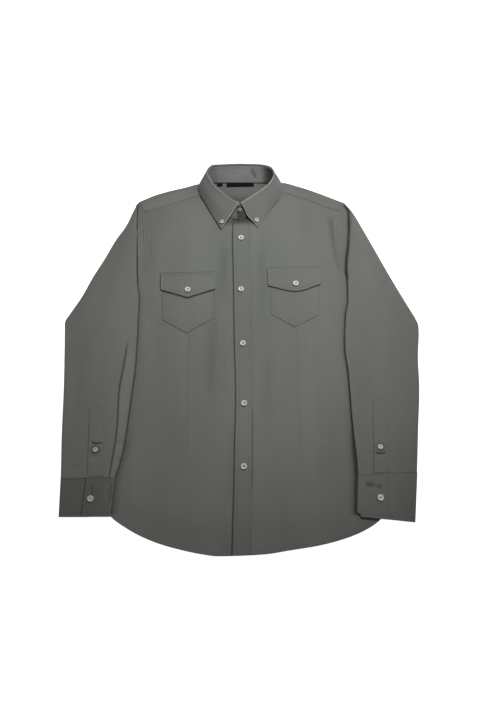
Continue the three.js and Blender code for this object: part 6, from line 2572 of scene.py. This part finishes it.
@dataclass(frozen=True)
class ClothFinish(Finish):
    """Woven cotton, with its colour variation, edges lighter from wear and painted highlights, painted shade
    in creases and shadows, and soft sheen.
    """

    # The colour that wear and painted highlights lighten the cloth towards.
    lighter_wear_and_highlight: Colour
    yarns: float = 2300.0
    rough: float = 0.86
    sheen: float = 0.12
    wear_and_light: float = 0.35
    bump: float = 0.35
    patches: float = 7.0
    shine: float = 0.25
    deep: float = 0.26
    across: float = 1.5
    along: float = 0.4
    near: Colour = (1.0, 1.0, 1.0)

    def material(self, groups: Groups) -> bpy.types.Material:
        """Builds the material from the shared groups."""
        rough = (self.rough - 0.06, self.rough + 0.06)
        values = {"Patches": self.patches, "Flecks": 300.0, "Across": self.across, "Along": self.along}
        tree, shader, mottle, material = self.begun(groups, rough, **values)
        weave = use(tree, groups.weave, Yarns_per_metre=self.yarns).outputs
        wear_and_light = use(tree, groups.wear_and_light, Amount=self.wear_and_light).outputs
        patches = spread(tree, mottle["Patch"], 0.3, 0.7, 0.0, 0.7)
        share = calc(tree, "ADD", patches, spread(tree, weave["Slub"], 0.35, 0.65, 0.0, 0.3))
        base = blend(tree, share, (*self.dark, 1), (*self.light, 1))
        inputs = {0: spread(tree, mottle["Far"], 0, 1, 1.0, 0.0), 6: base, 7: (*self.near, 1)}
        base = link(tree, "ShaderNodeMix", inputs, data_type="RGBA", blend_type="MULTIPLY").outputs[2]
        crossing = spread(tree, weave["Height"], 0, 1, 0.0, 0.16)
        base = blend(tree, crossing, base, (*[c * 0.55 for c in self.dark], 1))
        # Painted light: towards the lighter colour where wear and painted highlights lighten it, then towards
        # a dark copy of the cloth where painted shade darkens it.
        base = blend(tree, wear_and_light["Mask"], base, (*self.lighter_wear_and_highlight, 1))
        base = blend(tree, wear_and_light["Painted shade"], base, (*[c * self.deep for c in self.dark], 1))
        shader.inputs["Sheen Weight"].default_value = self.sheen
        shader.inputs["Sheen Roughness"].default_value = 0.5
        shader.inputs["Specular IOR Level"].default_value = self.shine
        height = calc(tree, "ADD", weave["Height"], calc(tree, "MULTIPLY", mottle["Fleck"], 1.6))
        self.finished(tree, shader, base, height, self.bump, 0.00012)
        return material


@dataclass(frozen=True)
class ButtonFinish(Finish):
    """Pale moulded buttons with faint cloudy streaks and a polished face."""

    def material(self, groups: Groups) -> bpy.types.Material:
        """Builds the material."""
        tree, shader, mottle, material = self.begun(groups, (0.36, 0.5), Patches=260.0, Flecks=900.0)
        base = blend(tree, spread(tree, mottle["Patch"], 0.3, 0.7), (*self.dark, 1), (*self.light, 1))
        wear_and_light = use(tree, groups.wear_and_light, Amount=1.0).outputs
        # A painted highlight towards near white, and painted shade towards a dark copy, from the button's
        # attribute.
        base = blend(tree, wear_and_light["Mask"], base, (0.95, 0.95, 0.92, 1))
        base = blend(tree, wear_and_light["Painted shade"], base, (*[c * 0.2 for c in self.dark], 1))
        shader.inputs["Coat Weight"].default_value = 0.2
        shader.inputs["Coat Roughness"].default_value = 0.3
        self.finished(tree, shader, base, mottle["Fleck"], 0.1, 0.00005)
        return material


@dataclass(frozen=True)
class ThreadFinish(Finish):
    """Spun sewing thread, its strands showing as small shade changes."""

    def material(self, groups: Groups) -> bpy.types.Material:
        """Builds the material."""
        tree, shader, mottle, material = self.begun(groups, (0.55, 0.8), Patches=900.0, Flecks=4000.0)
        base = blend(tree, spread(tree, mottle["Patch"], 0.3, 0.7), (*self.dark, 1), (*self.light, 1))
        shader.inputs["Sheen Weight"].default_value = 0.1
        self.finished(tree, shader, base, mottle["Fleck"], 0.4, 0.0001)
        return material


# The third colour of each cloth is where wear and painted highlights lighten it.
FINISHES = {
    "cloth": ClothFinish(
        "grey_cotton", (0.163, 0.161, 0.149), (0.205, 0.202, 0.189), (0.28, 0.28, 0.265),
        deep=0.15, near=(0.935, 1.0, 0.945),
    ),
    "collar": ClothFinish(
        "grey_collar_cotton", (0.158, 0.159, 0.153), (0.194, 0.195, 0.188), (0.38, 0.375, 0.34), wear_and_light=0.8,
    ),
    # Painted light: the stand's cloth is a lighter copy of the collar's, standing in for light on its inner
    # face, which the lamps hardly reach.
    "stand": ClothFinish(
        "grey_stand_cotton_painted_lighter", (0.255, 0.258, 0.252), (0.35, 0.353, 0.345), (0.40, 0.40, 0.38),
        wear_and_light=0.5, across=0.4, along=1.0, patches=40.0, deep=0.12,
    ),
    "label": ClothFinish(
        "black_satin", (0.003, 0.003, 0.003), (0.007, 0.007, 0.007), (0.012, 0.012, 0.012),
        yarns=4200.0, rough=0.7, sheen=0.0, wear_and_light=0.2, bump=0.2, shine=0.08,
    ),
    "button": ButtonFinish("pale_button", (0.54, 0.54, 0.50), (0.72, 0.72, 0.68)),
    "thread": ThreadFinish("grey_thread", (0.105, 0.108, 0.10), (0.155, 0.158, 0.148)),
}


@dataclass(frozen=True)
class StitchShape:
    """The size of one kind of stitch, in millimetres, and whether it lies across its line."""

    pitch: float
    length: float
    width: float
    crosswise: bool


STITCHES = {
    Thread.TOPSTITCH: StitchShape(2.7, 2.1, 0.36, False),
    Thread.BUTTONHOLE: StitchShape(0.62, 1.5, 0.5, True),
}


def stitch_tree(shape: StitchShape) -> bpy.types.NodeTree:
    """Geometry nodes that lay small spindles of thread along a mesh's edges.

    Args:
        shape: the stitch; its sizes are the tree's inputs.

    Returns:
        The tree.
    """
    tree = bpy.data.node_groups.new(
        "stitches_across" if shape.crosswise else "stitches_along", "GeometryNodeTree"
    )
    face = tree.interface
    face.new_socket("Lines", in_out="INPUT", socket_type="NodeSocketGeometry")
    for key in ("Pitch", "Length", "Width"):
        face.new_socket(key, in_out="INPUT", socket_type="NodeSocketFloat")
    face.new_socket("Thread", in_out="INPUT", socket_type="NodeSocketMaterial")
    face.new_socket("Stitches", in_out="OUTPUT", socket_type="NodeSocketGeometry")
    given = tree.nodes.new("NodeGroupInput")
    lines = link(tree, "GeometryNodeMeshToCurve", {0: given.outputs["Lines"]})
    places = link(
        tree, "GeometryNodeCurveToPoints", {
            "Curve": lines.outputs[0], "Length": given.outputs["Pitch"]
        }, mode="LENGTH"
    )
    turn = link(
        tree, "FunctionNodeAlignRotationToVector", {"Vector": places.outputs["Tangent"]},
        axis="Y" if shape.crosswise else "X",
    )  # fmt: skip
    size = link(
        tree, "ShaderNodeCombineXYZ",
        {0: given.outputs["Length"], 1: given.outputs["Width"], 2: given.outputs["Width"]},
    )  # fmt: skip
    spindle = link(tree, "GeometryNodeMeshUVSphere", {"Segments": 6, "Rings": 4, "Radius": 0.5})
    spindles = link(
        tree, "GeometryNodeInstanceOnPoints",
        {
            "Points": places.outputs["Points"],
            "Instance": spindle.outputs[0],
            "Rotation": turn.outputs[0],
            "Scale": size.outputs[0],
        },
    )  # fmt: skip
    real = link(tree, "GeometryNodeRealizeInstances", {0: spindles.outputs[0]})
    smooth = link(tree, "GeometryNodeSetShadeSmooth", {0: real.outputs[0]})
    done = link(tree, "GeometryNodeSetMaterial", {0: smooth.outputs[0], "Material": given.outputs["Thread"]})
    out = tree.nodes.new("NodeGroupOutput")
    tree.links.new(done.outputs[0], out.inputs[0])
    return tree


def stitched(
    name: str, lines: Sequence[np.ndarray], kind: Thread, finish: bpy.types.Material
) -> bpy.types.Mesh:
    """A plain mesh of the stitches along some lines.

    Args:
        name: the mesh's name.
        lines: each in millimetres.
        kind: which stitch.
        finish: the thread's material.

    Returns:
        The mesh, in metres.
    """
    points, edges = [], []
    for line in lines:
        start = len(points)
        points += (line * MM).tolist()
        edges += [(start + k, start + k + 1) for k in range(len(line) - 1)]
    obj = linked(name + "_lines", points, edges, [])
    shape = STITCHES[kind]
    tree = stitch_tree(shape)
    modifier = obj.modifiers.new("stitches", "NODES")
    modifier.node_group = tree
    sizes = {"Pitch": shape.pitch * MM, "Length": shape.length * MM, "Width": shape.width * MM}
    for item in tree.interface.items_tree:
        if item.in_out == "INPUT" and item.name != "Lines":
            modifier[item.identifier] = finish if item.name == "Thread" else sizes[item.name]
    return baked(obj)


@dataclass
class Studio:
    """The pale floor, the soft lights and the camera."""

    look_at: tuple[float, float, float] = (-0.0031, -0.035, 0.0)
    distance: float = 1.2842
    tilt: float = 20.0
    lens: float = 33.0
    key_place: tuple[float, float, float] = (0.35, 0.7, 1.2)
    key_aim: tuple[float, float, float] = (-0.01, 0.06, 0.0)
    key_cone: float = 49.5
    key_size: float = 0.1
    key_power: float = 66.0
    side_place: tuple[float, float, float] = (1.1, 1.2, 0.7)
    side_size: float = 0.5
    side_power: float = 2.5
    room: float = 0.13

    def build(self) -> None:
        """Makes the floor, the lights, the room's light and the camera."""
        self.floor()
        key = bpy.data.lights.new("key", "SPOT")
        key.energy = self.key_power
        key.spot_size = math.radians(self.key_cone)
        key.spot_blend = 1.0
        key.shadow_soft_size = self.key_size
        self.aimed(key, self.key_place, self.key_aim)
        side = bpy.data.lights.new("side", "AREA")
        side.shape = "SQUARE"
        side.size = self.side_size
        side.energy = self.side_power
        self.aimed(side, self.side_place, (0.0, 0.1, 0.0))
        world = bpy.data.worlds.new("room")
        world.use_nodes = True
        world.node_tree.nodes["Background"].inputs[0].default_value = (0.97, 0.98, 1.0, 1)
        world.node_tree.nodes["Background"].inputs[1].default_value = self.room
        bpy.context.scene.world = world
        bpy.context.scene.view_settings.view_transform = "Standard"
        self.camera()

    def floor(self) -> None:
        """A large pale floor that stays near white."""
        half = 6.0
        corners = [(-half, -half, 0), (half, -half, 0), (half, half, 0), (-half, half, 0)]
        obj = linked("floor", corners, [], [(0, 1, 2, 3)])
        material = bpy.data.materials.new("white_floor")
        material.use_nodes = True
        tree = material.node_tree
        shader = tree.nodes["Principled BSDF"]
        grain = noise(tree, link(tree, "ShaderNodeTexCoord").outputs["Object"], 3.0, 2.0)
        base = blend(tree, grain, (0.84, 0.84, 0.84, 1), (0.88, 0.88, 0.88, 1))
        tree.links.new(base, shader.inputs["Base Color"])
        shader.inputs["Roughness"].default_value = 0.9
        shader.inputs["Specular IOR Level"].default_value = 0.1
        shader.inputs["Emission Color"].default_value = (1, 1, 1, 1)
        shader.inputs["Emission Strength"].default_value = 0.9
        obj.data.materials.append(material)

    @staticmethod
    def aimed(lamp: bpy.types.Light, place: Sequence[float], target: Sequence[float]) -> None:
        """Puts a light at a place, pointing at a target.

        Args:
            lamp: the light.
            place: where it stands.
            target: what it points at.
        """
        obj = bpy.data.objects.new(lamp.name, lamp)
        obj.location = place
        obj.rotation_euler = (Vector(target) - Vector(place)).to_track_quat("-Z", "Y").to_euler()
        bpy.context.scene.collection.objects.link(obj)

    def camera(self) -> None:
        """The camera at the photograph's angle, for a frame taller than wide."""
        lens = bpy.data.cameras.new("camera")
        lens.sensor_fit = "VERTICAL"
        lens.sensor_height = 36
        lens.lens = self.lens
        lens.clip_start = 0.01
        obj = bpy.data.objects.new("camera", lens)
        tilt = math.radians(self.tilt)
        x, y, z = self.look_at
        obj.location = (x, y - self.distance * math.sin(tilt), z + self.distance * math.cos(tilt))
        obj.rotation_euler = (tilt, 0, 0)
        bpy.context.scene.collection.objects.link(obj)
        bpy.context.scene.camera = obj


def button_jobs(
    body: Body,
    pockets: Sequence[Pocket],
    gauntlets: Sequence[Gauntlet],
    cuffs: Sequence[Cuff],
    collar: Collar,
) -> list[tuple[str, ButtonKind, Sheet, Row, Row]]:
    """Every button's name, kind, cloth and place, and the direction of its buttonhole.

    Args:
        body: the body's sheets.
        pockets: both pockets.
        gauntlets: both strips.
        cuffs: both cuffs.
        collar: the collar.

    Returns:
        A row for each button.
    """
    front, sleeve, small = ButtonKind.FRONT, ButtonKind.SLEEVE, ButtonKind.COLLAR
    band = body.sheets["placket"]
    jobs = [(f"front_{k}", front, band, at, (0, 1)) for k, at in enumerate(FRONT_BUTTONS, 1)]
    jobs += [("pocket_" + p.side, front, p.flap_sheet, p.button, (0, 1)) for p in pockets]
    jobs += [("gauntlet_" + g.sleeve.side.name, sleeve, g.sheet, g.button, (0, 1)) for g in gauntlets]
    jobs += [("cuff_" + c.sleeve.side.name, front, c.sheet, c.button, (1, 0)) for c in cuffs]
    jobs.append(("collar_left", small, collar.leaf, (-40.9, 268.4), (-0.55, 0.84)))
    jobs.append(("collar_right", small, collar.leaf, (31.9, 272.6), (0.5, 0.86)))
    jobs.append(("stand", small, collar.stand, (-3.4, 296.5), (1, 0)))
    return jobs


def main() -> None:
    """Loads the frame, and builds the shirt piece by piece."""
    logging.basicConfig(level=logging.INFO, format="%(name)s: %(message)s")
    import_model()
    Studio().build()
    groups = Groups(weave_group(), mottle_group(), wear_and_light_group())
    shop = Shop({name: finish.material(groups) for name, finish in FINISHES.items()})
    body = Body()
    body.build(shop)
    Yoke().build(shop)
    gauntlets, cuffs = [], []
    for name in ("left", "right"):
        sleeve = Sleeve(SIDES[name], SLEEVE_FOLDS[name])
        sleeve.build(shop)
        gauntlets.append(Gauntlet(sleeve, *GAUNTLETS[name]))
        gauntlets[-1].build(shop)
        cuffs.append(Cuff(sleeve, *CUFFS[name], CUFF_FOLDS[name], CUFF_SHADES[name]))
        cuffs[-1].build(shop)
    for pocket in POCKETS:
        pocket.build(shop)
    collar = Collar()
    collar.build(shop)
    Labels().build(shop)
    Buttons().build(shop, button_jobs(body, POCKETS, gauntlets, cuffs, collar))


if __name__ == "__main__":
    main()
